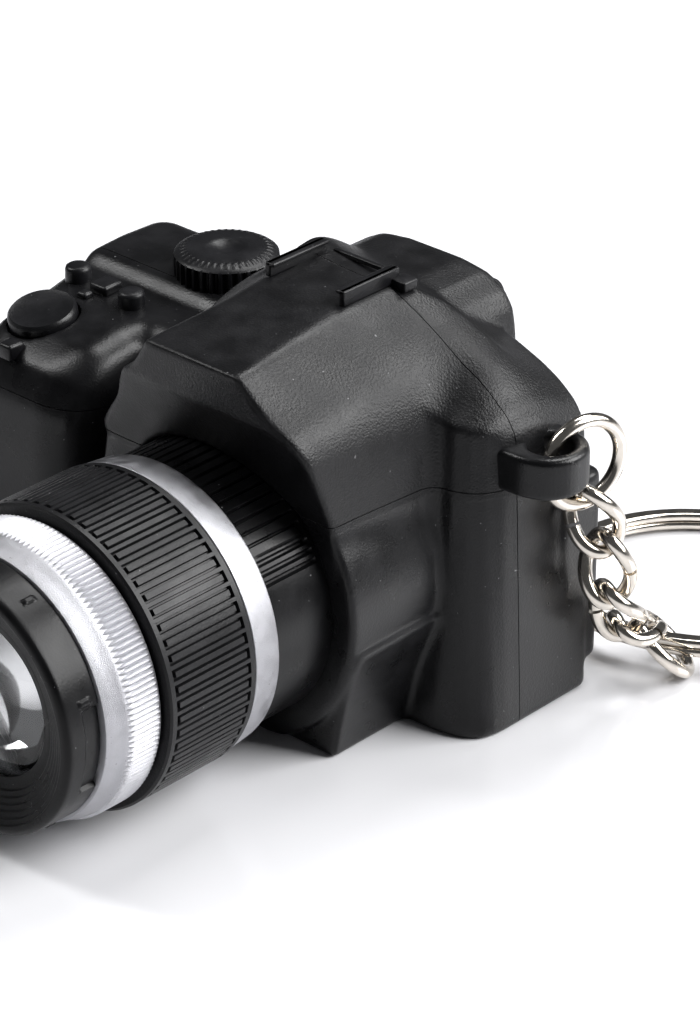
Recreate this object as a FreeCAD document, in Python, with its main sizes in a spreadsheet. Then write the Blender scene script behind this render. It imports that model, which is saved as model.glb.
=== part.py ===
import FreeCAD, Part
import math
import os

import Sketcher
from FreeCAD import Placement, Rotation, Vector

# Key-ring camera: a palm-sized single-lens-reflex camera with a lamp in its lens, on a short chain and split ring.
# Frame: +Z up, the lens looks along -Y, +X is the right-hand side as seen from the front.
# Origin: on the surface that the camera stands on, straight below the lens axis and above the casing's floor.

doc = FreeCAD.newDocument("key_ring_camera")

# ---------------------------------------------------------------- driving dimensions, in millimetres and degrees

DIMENSIONS = [
    ("axis_height", 13.7, "lens axis above the table"),
    ("wall", 1.4, "casing wall"),
    ("seam_z", 22.6, "joint between the top cover and the front shell"),
    ("seam_y", 3.3, "joint between the rear shell and the two front pieces"),
    ("seam_gap", 0.10, "open line between two casing pieces"),
    ("right_x", 19.2, "right side of the casing"),
    ("left_x", -31.4, "left side of the casing"),
    ("shoulder_y", -1.8, "front face of the right shoulder"),
    ("rear_y", 12.5, "rear face of the casing"),
    ("mount_y", -12.3, "front face of the lens mount"),
    ("mount_rad", 14.9, "lens mount bulge"),
    ("foot_half", 12.4, "half width of the foot under the mount"),
    ("foot_top", 10.8, "top of the foot"),
    ("grip_front", -14.4, "front of the hand grip"),
    ("grip_right", -16.4, "inner side of the hand grip"),
    ("deck_z", 28.0, "top deck on the grip side"),
    ("hump_top", 36.6, "top of the prism hump"),
    ("barrel_rad", 12.5, "root of the lens barrel"),
    ("spigot_rad", 11.0, "barrel tube that carries the rings"),
    ("bore_rad", 9.7, "bore of the barrel tube"),
    ("band_rear", -19.0, "rear edge of the bright band"),
    ("band_front", -22.0, "front edge of the bright band"),
    ("band_rad", 13.3, "bright band"),
    ("zoom_rear", -22.1, "rear edge of the zoom ring"),
    ("zoom_front", -31.7, "front edge of the zoom ring"),
    ("zoom_rad", 13.45, "zoom ring over its ribs"),
    ("rib_height", 0.35, "zoom ring ribs"),
    ("rib_count", 63, "zoom ring ribs"),
    ("focus_rear", -31.9, "rear edge of the focus ring"),
    ("focus_front", -37.5, "front edge of the focus ring"),
    ("focus_rad", 12.75, "focus ring over its knurl"),
    ("knurl_count", 160, "teeth of the focus ring's knurl"),
    ("knurl_depth", 0.25, "teeth of the focus ring's knurl"),
    ("rim_y", -41.2, "front rim of the bezel"),
    ("rim_rad", 11.5, "bezel at its rim"),
    ("glass_rad", 7.4, "front lens"),
    ("glass_y", -38.2, "rear face of the front lens"),
    ("led_y", -33.0, "tip of the lamp"),
    ("run_gap", 0.08, "radial clearance of a turning ring"),
    ("button_x", -26.1, "shutter button"),
    ("button_y", -6.6, "shutter button"),
    ("button_z", 26.7, "seat of the shutter button"),
    ("button_rad", 3.0, "shutter button"),
    ("button_tilt", 12.0, "forward lean of the shutter button"),
    ("dial_x", -18.3, "mode dial"),
    ("dial_y", 7.2, "mode dial"),
    ("dial_z", 28.25, "underside of the mode dial"),
    ("dial_rad", 4.25, "mode dial"),
    ("dial_height", 2.7, "mode dial"),
    ("dial_ribs", 36, "grip ribs on the mode dial"),
    ("lug_x", 20.5, "hole in the key-ring lug"),
    ("lug_y", 5.5, "hole in the key-ring lug"),
    ("lug_hole", 2.05, "hole in the key-ring lug"),
    ("lug_rad", 3.45, "rounded end of the key-ring lug"),
    ("lug_height", 3.8, "thickness of the key-ring lug"),
    ("jump_rad", 3.8, "jump ring, to the middle of its wire"),
    ("jump_wire", 0.62, "radius of the jump ring's wire"),
    ("jump_z", 23.6, "middle of the jump ring"),
    ("jump_reach", 3.43, "middle of the jump ring from the middle of the lug's hole"),
    ("link_half", 3.2, "half length of a chain link, to the middle of its wire"),
    ("link_wide", 1.94, "half width of a chain link, to the middle of its wire"),
    ("end_half", 3.1, "half length of the end link, to the middle of its wire"),
    ("end_wide", 3.02, "half width of the end link, to the middle of its wire"),
    ("link_wire", 0.62, "radius of the chain wire"),
    ("link_seat", 1.471, "wire of one link to the wire of the next, middle to middle"),
    ("link_twist", -84.6, "twist from one end of a chain link to the other"),
    ("split_rad", 13.1, "split ring, to the middle of its band"),
    ("split_wide", 1.5, "split ring band, across"),
    ("split_thick", 0.8, "one turn of the split ring"),
    ("cell_rad", 5.8, "button cell"),
    ("cell_thick", 3.05, "button cell"),
]

sheet = doc.addObject("Spreadsheet::Sheet", "Dims")
for row, (alias, value, meaning) in enumerate(DIMENSIONS, 1):
    sheet.set(f"A{row}", meaning)
    sheet.set(f"B{row}", str(value))
    sheet.setAlias(f"B{row}", alias)
doc.recompute()


def dim(alias):
    """A driving dimension as a plain number, read from the sheet."""
    return float(getattr(sheet, alias))


def value_of(expression):
    """The number that an expression on the sheet's cells gives."""
    return float(sheet.evalExpression(str(expression)))


# ---------------------------------------------------------------- parametric building blocks

subparts = {}


def keep(node, thing):
    """Makes a document object the sub-part of that node."""
    thing.Label = node
    subparts[node] = thing
    return thing


def bind(thing, **expressions):
    """Ties properties to expressions; x, y and z stand for the Placement's base."""
    for name, expression in expressions.items():
        path = f"Placement.Base.{name}" if name in ("x", "y", "z") else name
        thing.setExpression(path, str(expression))
    return thing


def block(name, x, y, z, length, width, height):
    """A box whose lowest corner and sizes are expressions."""
    made = doc.addObject("Part::Box", name)
    return bind(made, x=x, y=y, z=z, Length=length, Width=width, Height=height)


def rod(name, radius, height, x=0, y=0, z=0, axis=(0, 0, 1)):
    """A cylinder that starts at x, y, z and runs along axis."""
    made = doc.addObject("Part::Cylinder", name)
    made.Placement = Placement(Vector(), Rotation(Vector(0, 0, 1), Vector(*axis)))
    return bind(made, Radius=radius, Height=height, x=x, y=y, z=z)


def fused(name, *shapes):
    made = doc.addObject("Part::MultiFuse", name)
    made.Shapes = list(shapes)
    made.Refine = True
    return made


def cut(name, base, tool):
    made = doc.addObject("Part::Cut", name)
    made.Base, made.Tool = base, tool
    return made


def fixed(name, shape):
    """A shape built with Part's own functions from the sheet's values."""
    made = doc.addObject("Part::Feature", name)
    made.Shape = shape
    return made


def outline(body, name, role, points):
    """A closed sketch of straight edges through points, whose coordinates are expressions."""
    sketch = body.newObject("Sketcher::SketchObject", name)
    sketch.AttachmentSupport = [(next(f for f in body.Origin.OriginFeatures if f.Role == role), "")]
    sketch.MapMode = "FlatFace"
    places = [Vector(value_of(u), value_of(v), 0) for u, v in points]
    count = len(places)
    for i, place in enumerate(places):
        sketch.addGeometry(Part.LineSegment(place, places[(i + 1) % count]))
    for i in range(count):
        sketch.addConstraint(Sketcher.Constraint("Coincident", i, 2, (i + 1) % count, 1))
    for i, (u, v) in enumerate(points):
        for kind, line, expression, now in (("DistanceX", -2, u, places[i].x), ("DistanceY", -1, v, places[i].y)):
            if str(expression) == "0":
                sketch.addConstraint(Sketcher.Constraint("PointOnObject", i, 1, line))
            else:
                index = sketch.addConstraint(Sketcher.Constraint(kind, -1, 1, i, 1, now))
                sketch.setExpression(f"Constraints[{index}]", str(expression))
    return sketch


def turned(name, profile):
    """A body of revolution about the lens axis. profile is (radius, place along the axis)."""
    body = doc.addObject("PartDesign::Body", name)
    sketch = outline(body, name + "_profile", "XY_Plane", profile)
    spin = body.newObject("PartDesign::Revolution", name + "_turn")
    spin.Profile = sketch
    spin.ReferenceAxis = (sketch, ["V_Axis"])
    spin.Angle = 360.0
    body.Tip = spin
    return bind(body, z="Dims.axis_height")


def zone(x0, x1, y0, y1, z0, z1):
    return Part.makeBox(x1 - x0, y1 - y0, z1 - z0, Vector(x0, y0, z0))


def bar(radius, start, end):
    """A cylinder from one point to another."""
    run = Vector(*end) - Vector(*start)
    return Part.makeCylinder(radius, run.Length, Vector(*start), run)


def seated(shape, place):
    """The shape moved from its own frame to place."""
    moved = shape.copy()
    moved.Placement = place.multiply(moved.Placement)
    return moved


def toothed(count, root, tip, share, length):
    """A toothed disc on the XY plane; share is the part of the pitch that a tooth takes at its tip."""
    pitch = 2 * math.pi / count
    corners = []
    for i in range(count):
        for radius, at in ((root, -share / 2 - 0.06), (tip, -share / 2), (tip, share / 2), (root, share / 2 + 0.06)):
            turn = (i + at) * pitch
            corners.append(Vector(radius * math.cos(turn), radius * math.sin(turn), 0))
    return Part.Face(Part.makePolygon(corners + corners[:1])).extrude(Vector(0, 0, length))


# ---------------------------------------------------------------- casing form

HUMP_SIDES = [
    # y, then (half width, height) from the casing joint up to the edge of the top plate
    (-17.0, [(12.2, 22.0), (12.0, 26.0), (11.5, 29.2), (10.1, 31.0), (8.1, 32.1), (6.7, 33.7), (5.3, 35.4)]),
    (-9.0, [(12.9, 22.0), (12.7, 26.2), (12.1, 29.4), (10.8, 31.3), (9.1, 32.7), (7.8, 34.3), (6.5, 36.0)]),
    (-1.0, [(13.5, 22.0), (13.3, 26.4), (12.7, 29.8), (11.6, 31.7), (10.3, 33.2), (9.0, 34.8), (7.6, 36.4)]),
    (5.6, [(13.5, 22.0), (13.4, 26.6), (12.9, 30.2), (11.9, 32.2), (10.7, 33.7), (9.3, 35.1), (7.8, 36.6)]),
]
SHOULDER_TOPS = [
    # y, then (x, height) along the top of the right shoulder, from the side wall inwards
    (-1.8, [(19.0, 21.0), (18.5, 24.4), (17.0, 26.6), (13.6, 28.2), (9.4, 29.9), (0.0, 31.6)]),
    (5.0, [(19.2, 21.0), (18.9, 26.0), (17.4, 28.8), (14.0, 30.5), (9.8, 32.6), (0.0, 34.4)]),
    (12.5, [(19.0, 21.0), (18.4, 24.6), (16.8, 27.0), (13.6, 28.6), (9.5, 30.4), (0.0, 32.0)]),
]


def side_curve(points):
    """A smooth curve through points, with evenly spaced knots so that neighbouring sections match."""
    curve = Part.BSplineCurve()
    last = len(points) - 1
    curve.interpolate(Points=[Vector(*p) for p in points], Parameters=[i / last for i in range(last + 1)])
    return curve.toShape()


def hump_section(y, sides):
    right = [(half, y, z) for half, z in sides]
    left = [(-half, y, z) for half, z in reversed(sides)]
    top = Part.makeLine(Vector(*right[-1]), Vector(*left[0]))
    foot = Part.makeLine(Vector(*left[-1]), Vector(*right[0]))
    return Part.Wire([side_curve(right), top, side_curve(left), foot])


def side_plate(profile, x0, x1):
    """A plate seen from the side: profile is (y, z), and it runs from x0 to x1."""
    points = [Vector(x0, y, z) for y, z in profile]
    return Part.Face(Part.makePolygon(points + points[:1])).extrude(Vector(x1 - x0, 0, 0))


def front_plate(profile, y0, y1):
    """A plate seen from the front: profile is (x, z), and it runs from y0 to y1."""
    points = [Vector(x, y0, z) for x, z in profile]
    return Part.Face(Part.makePolygon(points + points[:1])).extrude(Vector(0, y1 - y0, 0))


def rounded_plan(corners, z, height):
    """An upright prism over a plan of (x, y, corner radius)."""
    places = [Vector(x, y, z) for x, y, _ in corners]
    count = len(corners)
    edges, starts, ends = [], [], []
    for i, (_, _, radius) in enumerate(corners):
        here, before, after = places[i], places[i - 1], places[(i + 1) % count]
        back, on = (before - here).normalize(), (after - here).normalize()
        half = back.getAngle(on) / 2
        middle = here + (back + on).normalize() * (radius / math.sin(half))
        starts.append(here + back * (radius / math.tan(half)))
        ends.append(here + on * (radius / math.tan(half)))
        edges.append(Part.Arc(starts[-1], middle + (here - middle).normalize() * radius, ends[-1]).toShape())
    for i in range(count):
        edges.append(Part.makeLine(ends[i], starts[(i + 1) % count]))
    return Part.Face(Part.Wire(Part.__sortEdges__(edges))).extrude(Vector(0, 0, height))


def hump_form(inset):
    """The prism hump; its front leans forward over the lens and its top plate rises gently to the rear."""
    low = dim("seam_z") - 0.6
    sections = [hump_section(y, [(half - inset, max(z - inset, low)) for half, z in sides]) for y, sides in HUMP_SIDES]
    top, end = dim("hump_top"), 5.6 - inset
    profile = [(dim("mount_y") + inset, low), (-15.6 + inset, 31.2), (-16.1 + inset, 35.5 - inset)]
    profile += [(-2.0, top - 0.2 - inset), (end, top - inset), (end, low)]
    return Part.makeLoft(sections, True, False).common(side_plate(profile, -20, 20))


def shoulder_form(inset):
    """The right-hand half of the casing, with rounded upright corners."""
    sections = []
    for y, tops in SHOULDER_TOPS:
        points = [(max(x - inset, 0.0), y, z - inset) for x, z in tops]
        floor = [Vector(*points[-1]), Vector(0, y, inset), Vector(points[0][0], y, inset), Vector(*points[0])]
        sections.append(Part.Wire([side_curve(points)] + Part.makePolygon(floor).Edges))
    front, rear, right = dim("shoulder_y") + inset, dim("rear_y") - inset, dim("right_x") - inset
    plan = [(0, front, 0.2), (right, front, 2.6), (right, rear, 2.6), (0, rear, 0.2)]
    return Part.makeLoft(sections, True, False).common(rounded_plan(plan, inset, 40))


def grip_form(inset):
    """The left-hand part with the hand grip; its top falls towards the front."""
    left, right = dim("left_x") + inset, dim("grip_right") - inset
    front, rear, web = dim("grip_front") + inset, dim("rear_y") - inset, -4.2 + inset
    corners = [(left, rear, 3.4), (left, front, 5.2), (right, front, 5.2), (right, web, 1.2), (0, web, 0.4)]
    column = rounded_plan(corners + [(0, rear, 0.4)], inset, 40)
    deck = dim("deck_z") - inset
    profile = [(20, inset), (20, deck - 1.2), (11.6, deck), (1.6, deck + 0.2), (0.9, deck - 1.1)]
    profile += [(-3.2, deck - 1.2), (-4.6, deck - 0.9), (-10.2, deck - 2.4), (-13.4, deck - 5.0)]
    profile += [(-14.6, deck - 8.0), (-20, inset)]
    return column.common(side_plate(profile, -40, 20))


def mount_form(inset):
    """The round bulge behind the lens and the foot below it."""
    radius, front, rear = dim("mount_rad") - inset, dim("mount_y") + inset, dim("seam_y") + 1
    bulge = bar(radius, (0, front, dim("axis_height")), (0, rear, dim("axis_height")))
    half, top, lean = dim("foot_half") - inset, dim("foot_top"), 1.9
    foot = front_plate([(-half, inset), (half, inset), (half + lean, top), (-half - lean, top)], front + 0.7, rear)
    neck = zone(-half, half, front, rear, 16, dim("seam_z"))
    return bulge.common(zone(-20, 20, front, rear, inset, 30)).fuse([foot, neck])


def eyepiece_form(inset):
    """The viewfinder block that stands proud of the rear face."""
    half, top, low = 9.0 - inset, 34.2 - inset, 24.0 + inset
    right = [(half, low), (half, top - 3.0), (half - 2.6, top)]
    return front_plate(right + [(-x, z) for x, z in reversed(right)], dim("seam_y") + 0.1, 14.5 - inset)


def casing_form(inset):
    others = [grip_form(inset), mount_form(inset), hump_form(inset), eyepiece_form(inset)]
    return shoulder_form(inset).fuse(others).removeSplitter()


# ---------------------------------------------------------------- casing mouldings

BUTTON_SEAT = Placement(Vector(dim("button_x"), dim("button_y"), dim("button_z")),
                        Rotation(Vector(1, 0, 0), dim("button_tilt")))
DIAL_SEAT = Placement(Vector(dim("dial_x"), dim("dial_y"), dim("dial_z")), Rotation())
LENS_FRONT = Rotation(Vector(0, 0, 1), Vector(0, -1, 0))
SCREW_SPOTS = [(-27.0, 5.2), (-14.9, 5.2), (14.6, 20.4)]
POST_SPOTS = [(-8.4, 6.0), (8.4, 6.0), (-8.4, 19.0), (8.4, 19.0)]
DOOR = (2.7, 16.1, 3.2, 17.0)
SCREEN = (-13.6, 0.2, 4.4, 15.2)
GRILLE = [(-21.5 + dx, 13 + dz) for dx in (-2.4, 0, 2.4) for dz in (-2.4, 0, 2.4)]


def on_barrel(radius, angle, y):
    """A point round the lens axis; angle 90 is at the top."""
    turn = math.radians(angle)
    return (radius * math.cos(turn), y, dim("axis_height") + radius * math.sin(turn))


BARREL_SPOTS = [on_barrel(7.0, angle, 0) for angle in (90, 210, 330)]


def lug_shape():
    """The key-ring lug: a flat tab with a rounded end, an upright hole and a root inside the casing."""
    low, thick, end = dim("seam_z"), dim("lug_height"), dim("lug_rad")
    x, y = dim("lug_x"), dim("lug_y")
    tab = bar(end, (x, y, low), (x, y, low + thick)).fuse(zone(17.2, x, y - end, y + end, low, low + thick))
    root = zone(16.4, 17.3, y - end - 0.6, y + end + 0.6, low - 0.6, low + thick + 0.4)
    return tab.fuse(root).cut(bar(dim("lug_hole"), (x, y, low - 1), (x, y, low + thick + 1))).removeSplitter()


def casing_shapes():
    """The three casing mouldings, with their bosses, posts and openings."""
    outer, inner = casing_form(0.0), casing_form(dim("wall"))
    skin = outer.cut(inner)
    gap, seam_y, seam_z = dim("seam_gap") / 2, dim("seam_y"), dim("seam_z")
    front_zone = zone(-60, 60, -60, seam_y - gap, -1, seam_z - gap)
    cover_zone = zone(-60, 60, -60, seam_y - gap, seam_z + gap, 60)
    rear_zone = zone(-60, 60, seam_y + gap, 60, -1, 60)

    posts = [bar(1.9, (x, y, z), (x, seam_y, z)) for (x, z), y in zip(SCREW_SPOTS, (-13.6, -3.4, -1.2))]
    posts += [bar(1.2, (x, -11.4, z), (x, -9.2, z)) for x, z in POST_SPOTS]
    posts += [seated(bar(1.5, (0, 0.6, -22), (0, 0.6, -9.3)), BUTTON_SEAT)]
    front = skin.common(front_zone).fuse([p.common(outer).common(front_zone) for p in posts])
    holes = [bar(0.65, (x, -0.6, z), (x, 5, z)) for x, z in SCREW_SPOTS]
    holes += [bar(0.45, (x, -10.9, z), (x, -9, z)) for x, z in POST_SPOTS]
    holes += [bar(0.75, (x, -13, z), (x, -10, z)) for x, _, z in BARREL_SPOTS]
    holes += [bar(3.0, (0, -13, dim("axis_height")), (0, -10, dim("axis_height"))), lug_shape()]
    throat = bar(dim("barrel_rad") + 0.1, (0, -25, dim("axis_height")), (0, dim("mount_y"), dim("axis_height")))
    front = front.cut(holes + [throat]).removeSplitter()

    button_hole = seated(bar(dim("button_rad") + 0.1, (0, 0, -4), (0, 0, 4)), BUTTON_SEAT)
    cover = skin.common(cover_zone).cut([button_hole, lug_shape(), throat]).removeSplitter()

    towers = [bar(2.4, (x, seam_y, z), (x, 12.3, z)) for x, z in SCREW_SPOTS]
    rear = skin.common(rear_zone).fuse([t.common(outer).common(rear_zone) for t in towers])
    holes = [bar(0.8, (x, 0, z), (x, 10, z)) for x, z in SCREW_SPOTS]
    holes += [bar(1.6, (x, 8.6, z), (x, 20, z)) for x, z in SCREW_SPOTS]
    holes += [zone(DOOR[0], DOOR[1], 10.9, 13, DOOR[2], DOOR[3])]
    holes += [zone(SCREEN[0], SCREEN[1], 11.9, 13, SCREEN[2], SCREEN[3])]
    holes += [seated(bar(1.28, (0, 0, -5), (0, 0, 5)), DIAL_SEAT), zone(-5.5, 5.5, 12.9, 16, 26.0, 32.0), lug_shape()]
    holes += [bar(0.5, (x, 10, z), (x, 14, z)) for x, z in GRILLE]
    return front, cover, rear.cut(holes).removeSplitter()


for node, shape in zip(("front_shell", "top_cover", "rear_shell"), casing_shapes()):
    keep(node, fixed(node, shape))
keep("key_lug", fixed("key_lug", lug_shape()))

# ---------------------------------------------------------------- lens

tube = turned("barrel_turning", [
    (3.0, "Dims.mount_y"), ("Dims.barrel_rad", "Dims.mount_y"), ("Dims.barrel_rad", "Dims.band_rear"),
    ("Dims.spigot_rad", "Dims.band_rear"), ("Dims.spigot_rad", "Dims.focus_front"),
    ("Dims.bore_rad", "Dims.focus_front"), ("Dims.bore_rad", "Dims.mount_y - 2"), (3.0, "Dims.mount_y - 2")])
tube_holes = fixed("barrel_holes", Part.makeCompound([bar(0.6, (x, -15, z), (x, -12, z)) for x, _, z in BARREL_SPOTS]))
keep("lens_barrel", cut("lens_barrel", tube, tube_holes))

keep("bright_band", turned("bright_band", [
    ("Dims.spigot_rad", "Dims.band_rear"), ("Dims.band_rad - 0.3", "Dims.band_rear"),
    ("Dims.band_rad", "Dims.band_front"), ("Dims.spigot_rad", "Dims.band_front")]))


def ribbed_ring(count, root, tip, share, y_front, y_rear):
    """A ribbed ring about the lens axis, with the running bore of the barrel tube."""
    axis = dim("axis_height")
    disc = seated(toothed(count, root, tip, share, y_rear - y_front), Placement(Vector(0, y_rear, axis), LENS_FRONT))
    return disc.cut(bar(dim("spigot_rad") + dim("run_gap"), (0, y_front - 1, axis), (0, y_rear + 1, axis)))


zoom_core = turned("zoom_core", [
    ("Dims.spigot_rad + Dims.run_gap", "Dims.zoom_rear"),
    ("Dims.zoom_rad - Dims.rib_height", "Dims.zoom_rear"),
    ("Dims.zoom_rad - Dims.rib_height", "Dims.zoom_front"),
    ("Dims.spigot_rad + Dims.run_gap", "Dims.zoom_front")])
zoom_ribs = fixed("zoom_ribs", ribbed_ring(
    int(dim("rib_count")), dim("zoom_rad") - dim("rib_height") - 0.02, dim("zoom_rad"), 0.5,
    dim("zoom_front") + 0.7, dim("zoom_rear") - 0.7))
keep("zoom_ring", fused("zoom_ring", zoom_core, zoom_ribs))

focus_core = turned("focus_core", [
    ("Dims.spigot_rad + Dims.run_gap", "Dims.focus_rear"),
    ("Dims.focus_rad - Dims.knurl_depth - 0.1", "Dims.focus_rear"),
    ("Dims.focus_rad - Dims.knurl_depth - 0.1", "Dims.focus_front + 1.7"),
    ("Dims.focus_rad - 0.9", "Dims.focus_front + 0.1"),
    ("Dims.spigot_rad + Dims.run_gap", "Dims.focus_front + 0.1")])
focus_knurl = fixed("focus_knurl", ribbed_ring(
    int(dim("knurl_count")), dim("focus_rad") - dim("knurl_depth"), dim("focus_rad"), 0.4,
    dim("focus_front") + 1.7, dim("focus_rear") - 0.2))
keep("focus_ring", fused("focus_ring", focus_core, focus_knurl))

cone = []
for step in range(6):
    radius = 10.5 - 0.5 * step
    cone += [(radius, f"Dims.rim_y + {0.27 * step:.2f}"), (radius, f"Dims.rim_y + {0.27 * (step + 1):.2f}")]
keep("front_bezel", turned("front_bezel", [
    ("Dims.bore_rad", "Dims.focus_front + 1.5"), ("Dims.bore_rad", "Dims.focus_front"),
    ("Dims.rim_rad + 0.1", "Dims.focus_front"), ("Dims.rim_rad", "Dims.rim_y + 0.4"),
    ("Dims.rim_rad - 0.4", "Dims.rim_y")] + cone + [
    (7.0, "Dims.rim_y + 1.62"), (7.0, "Dims.glass_y - 0.8"), ("Dims.glass_rad", "Dims.glass_y - 0.8"),
    ("Dims.glass_rad", "Dims.glass_y"), ("Dims.glass_rad + 0.4", "Dims.focus_front + 1.5")]))


def bulging_lens():
    """A lens with a flat back, a narrow rim and a bulging front."""
    radius, front, bulge = dim("glass_rad"), dim("glass_y") - 0.8, 2.1
    face = radius - 0.45
    sphere = (face * face + bulge * bulge) / (2 * bulge)
    cap = Part.makeSphere(sphere, Vector(0, front - bulge + sphere, dim("axis_height")))
    rim = bar(radius, (0, front, dim("axis_height")), (0, dim("glass_y"), dim("axis_height")))
    return rim.fuse(cap.common(zone(-20, 20, front - bulge - 1, front, -20, 60))).removeSplitter()


keep("front_lens", fixed("front_lens", bulging_lens()))
keep("reflector", turned("reflector", [
    (2.6, "Dims.led_y + 3.0"), (9.6, "Dims.focus_front + 1.6"), (9.6, "Dims.focus_front + 2.6"),
    (2.6, "Dims.led_y + 4.0")]))
keep("lamp", turned("lamp", [
    (0, "Dims.led_y"), (1.4, "Dims.led_y + 0.4"), (2.3, "Dims.led_y + 1.4"), (2.5, "Dims.led_y + 2.6"),
    (2.5, "Dims.led_y + 6.8"), (2.9, "Dims.led_y + 6.8"), (2.9, "Dims.led_y + 7.8"), (0, "Dims.led_y + 7.8")]))
holder_disc = rod("lamp_holder_disc", "Dims.bore_rad", 1.0, y="Dims.led_y + 8.8", z="Dims.axis_height", axis=(0, -1, 0))
lead_holes = fixed("lamp_lead_holes", Part.makeCompound(
    [bar(0.45, (x, -30, dim("axis_height")), (x, -20, dim("axis_height"))) for x in (-1.27, 1.27)]))
keep("lamp_holder", cut("lamp_holder", holder_disc, lead_holes))


def screws_at(spots, facing, length, head_rad, head_thick, shank_rad):
    """Cross-head screws: each spot is the underside of a head, and facing points out of the head."""
    reach = head_rad * 0.6
    slots = [zone(-reach, reach, -0.13, 0.13, head_thick - 0.35, head_thick + 1)]
    slots += [zone(-0.13, 0.13, -reach, reach, head_thick - 0.35, head_thick + 1)]
    one = bar(head_rad, (0, 0, 0), (0, 0, head_thick)).cut(slots).fuse(bar(shank_rad, (0, 0, -length), (0, 0, 0)))
    turn = Rotation(Vector(0, 0, 1), Vector(*facing))
    return Part.makeCompound([seated(one.removeSplitter(), Placement(Vector(*spot), turn)) for spot in spots])


keep("barrel_screws", fixed("barrel_screws", screws_at(
    [(x, dim("mount_y") + dim("wall"), z) for x, _, z in BARREL_SPOTS], (0, 1, 0), 3.2, 1.2, 0.7, 0.6)))
keep("case_screws", fixed("case_screws", screws_at(
    [(x, 8.6, z) for x, z in SCREW_SPOTS], (0, 1, 0), 9.1, 1.4, 0.9, 0.65)))

# ---------------------------------------------------------------- controls on top


def shutter_button_shape():
    radius = dim("button_rad")
    cap = bar(radius, (0, 0, -2.4), (0, 0, 1.0)).cut(Part.makeSphere(14, Vector(0, 0, 14.7)))
    flange, stem = bar(radius + 0.6, (0, 0, -2.9), (0, 0, -2.4)), bar(1.0, (0, 0, -5.0), (0, 0, -2.8))
    return cap.fuse([flange, stem]).removeSplitter()


def coil(radius, wire, height, turns):
    """A compression spring standing upright on z = 0: flat turns joined by a short riser."""
    pitch = (height - 2 * wire) / (turns - 1)
    rings = [Part.makeTorus(radius, wire, Vector(0, 0, wire + i * pitch)) for i in range(turns)]
    riser = bar(wire * 0.9, (radius, 0, wire), (radius, 0, height - wire))
    return riser.fuse(rings).removeSplitter()


keep("shutter_button", fixed("shutter_button", seated(shutter_button_shape(), BUTTON_SEAT)))
spring_place = BUTTON_SEAT.multiply(Placement(Vector(0, 0, -8.35), Rotation()))
keep("shutter_spring", fixed("shutter_spring", seated(coil(2.6, 0.15, 5.4, 7), spring_place)))
keep("switch_board", fixed("switch_board", seated(zone(-3.4, 3.4, -4.0, 4.0, -9.3, -8.4), BUTTON_SEAT)))
keep("shutter_switch", fixed("shutter_switch", seated(
    zone(-1.5, 1.5, -1.5, 1.5, -8.4, -6.8).fuse(bar(0.7, (0, 0, -6.9), (0, 0, -5.9))).removeSplitter(), BUTTON_SEAT)))

dial = toothed(int(dim("dial_ribs")), dim("dial_rad") - 0.22, dim("dial_rad"), 0.45, dim("dial_height"))
dial = dial.cut(Part.makeSphere(4.5, Vector(0, 0, dim("dial_height") + 4.1)))
dial = dial.fuse(bar(1.2, (0, 0, -2.2), (0, 0, 0.5))).removeSplitter()
keep("mode_dial", fixed("mode_dial", seated(dial, DIAL_SEAT)))
keep("dial_clip", fixed("dial_clip", seated(
    bar(2.2, (0, 0, -2.2), (0, 0, -1.7)).cut(bar(1.2, (0, 0, -3), (0, 0, 0))), DIAL_SEAT)))

DECK = dim("deck_z") - 1.25
keep("top_buttons", fixed("top_buttons", Part.makeCompound(
    [bar(1.2, (x, y, DECK - 0.1), (x, y, DECK + 1.5)) for x, y in ((-28.2, -0.9), (-21.9, -1.2))])))
keep("power_lever", fixed("power_lever", zone(-26.2, -23.9, -1.9, 0.6, DECK - 0.1, DECK + 0.9)))


def shoe_shape():
    """The accessory shoe: a thin plate on the top plate with two folded rails and a stop."""
    low = dim("hump_top") - 0.35
    plate = zone(-4.2, 4.2, -2.2, 5.4, low, low + 0.45)
    rails = [zone(s * 4.2 - 0.35, s * 4.2 + 0.35, -2.2, 4.4, low, low + 1.35) for s in (-1, 1)]
    lips = [zone(min(s * 3.2, s * 4.4), max(s * 3.2, s * 4.4), -2.2, 4.4, low + 1.0, low + 1.35) for s in (-1, 1)]
    return plate.fuse(rails + lips + [zone(-3.2, 3.2, 4.8, 5.4, low, low + 0.9)]).removeSplitter()


plateau = casing_form(0.0)
keep("accessory_shoe", fixed("accessory_shoe", shoe_shape().cut(plateau)))
for node in ("top_buttons", "power_lever"):
    subparts[node].Shape = subparts[node].Shape.cut(plateau)

# ---------------------------------------------------------------- rear

keep("rear_screen", block("rear_screen", SCREEN[0], 11.9, SCREEN[2], SCREEN[1] - SCREEN[0], 0.9, SCREEN[3] - SCREEN[2]))
eyecup_ring = zone(-6.6, 6.6, 14.5, 15.9, 24.9, 33.1).cut(zone(-5.5, 5.5, 14, 17, 26.0, 32.0))
keep("eyecup", fixed("eyecup", eyecup_ring))
keep("eyepiece_window", block("eyepiece_window", -5.5, 13.1, 26.0, 11.0, 0.9, 6.0))
rear_pads = [bar(0.9, (x, 12.5, 18.6), (x, 13.1, 18.6)) for x in (-12.4, -8.6, -4.8, -1.0)]
rear_pads += [bar(1.9, (-21.5, 12.5, 20.6), (-21.5, 13.2, 20.6))]
keep("rear_buttons", fixed("rear_buttons", Part.makeCompound(rear_pads)))

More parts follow.
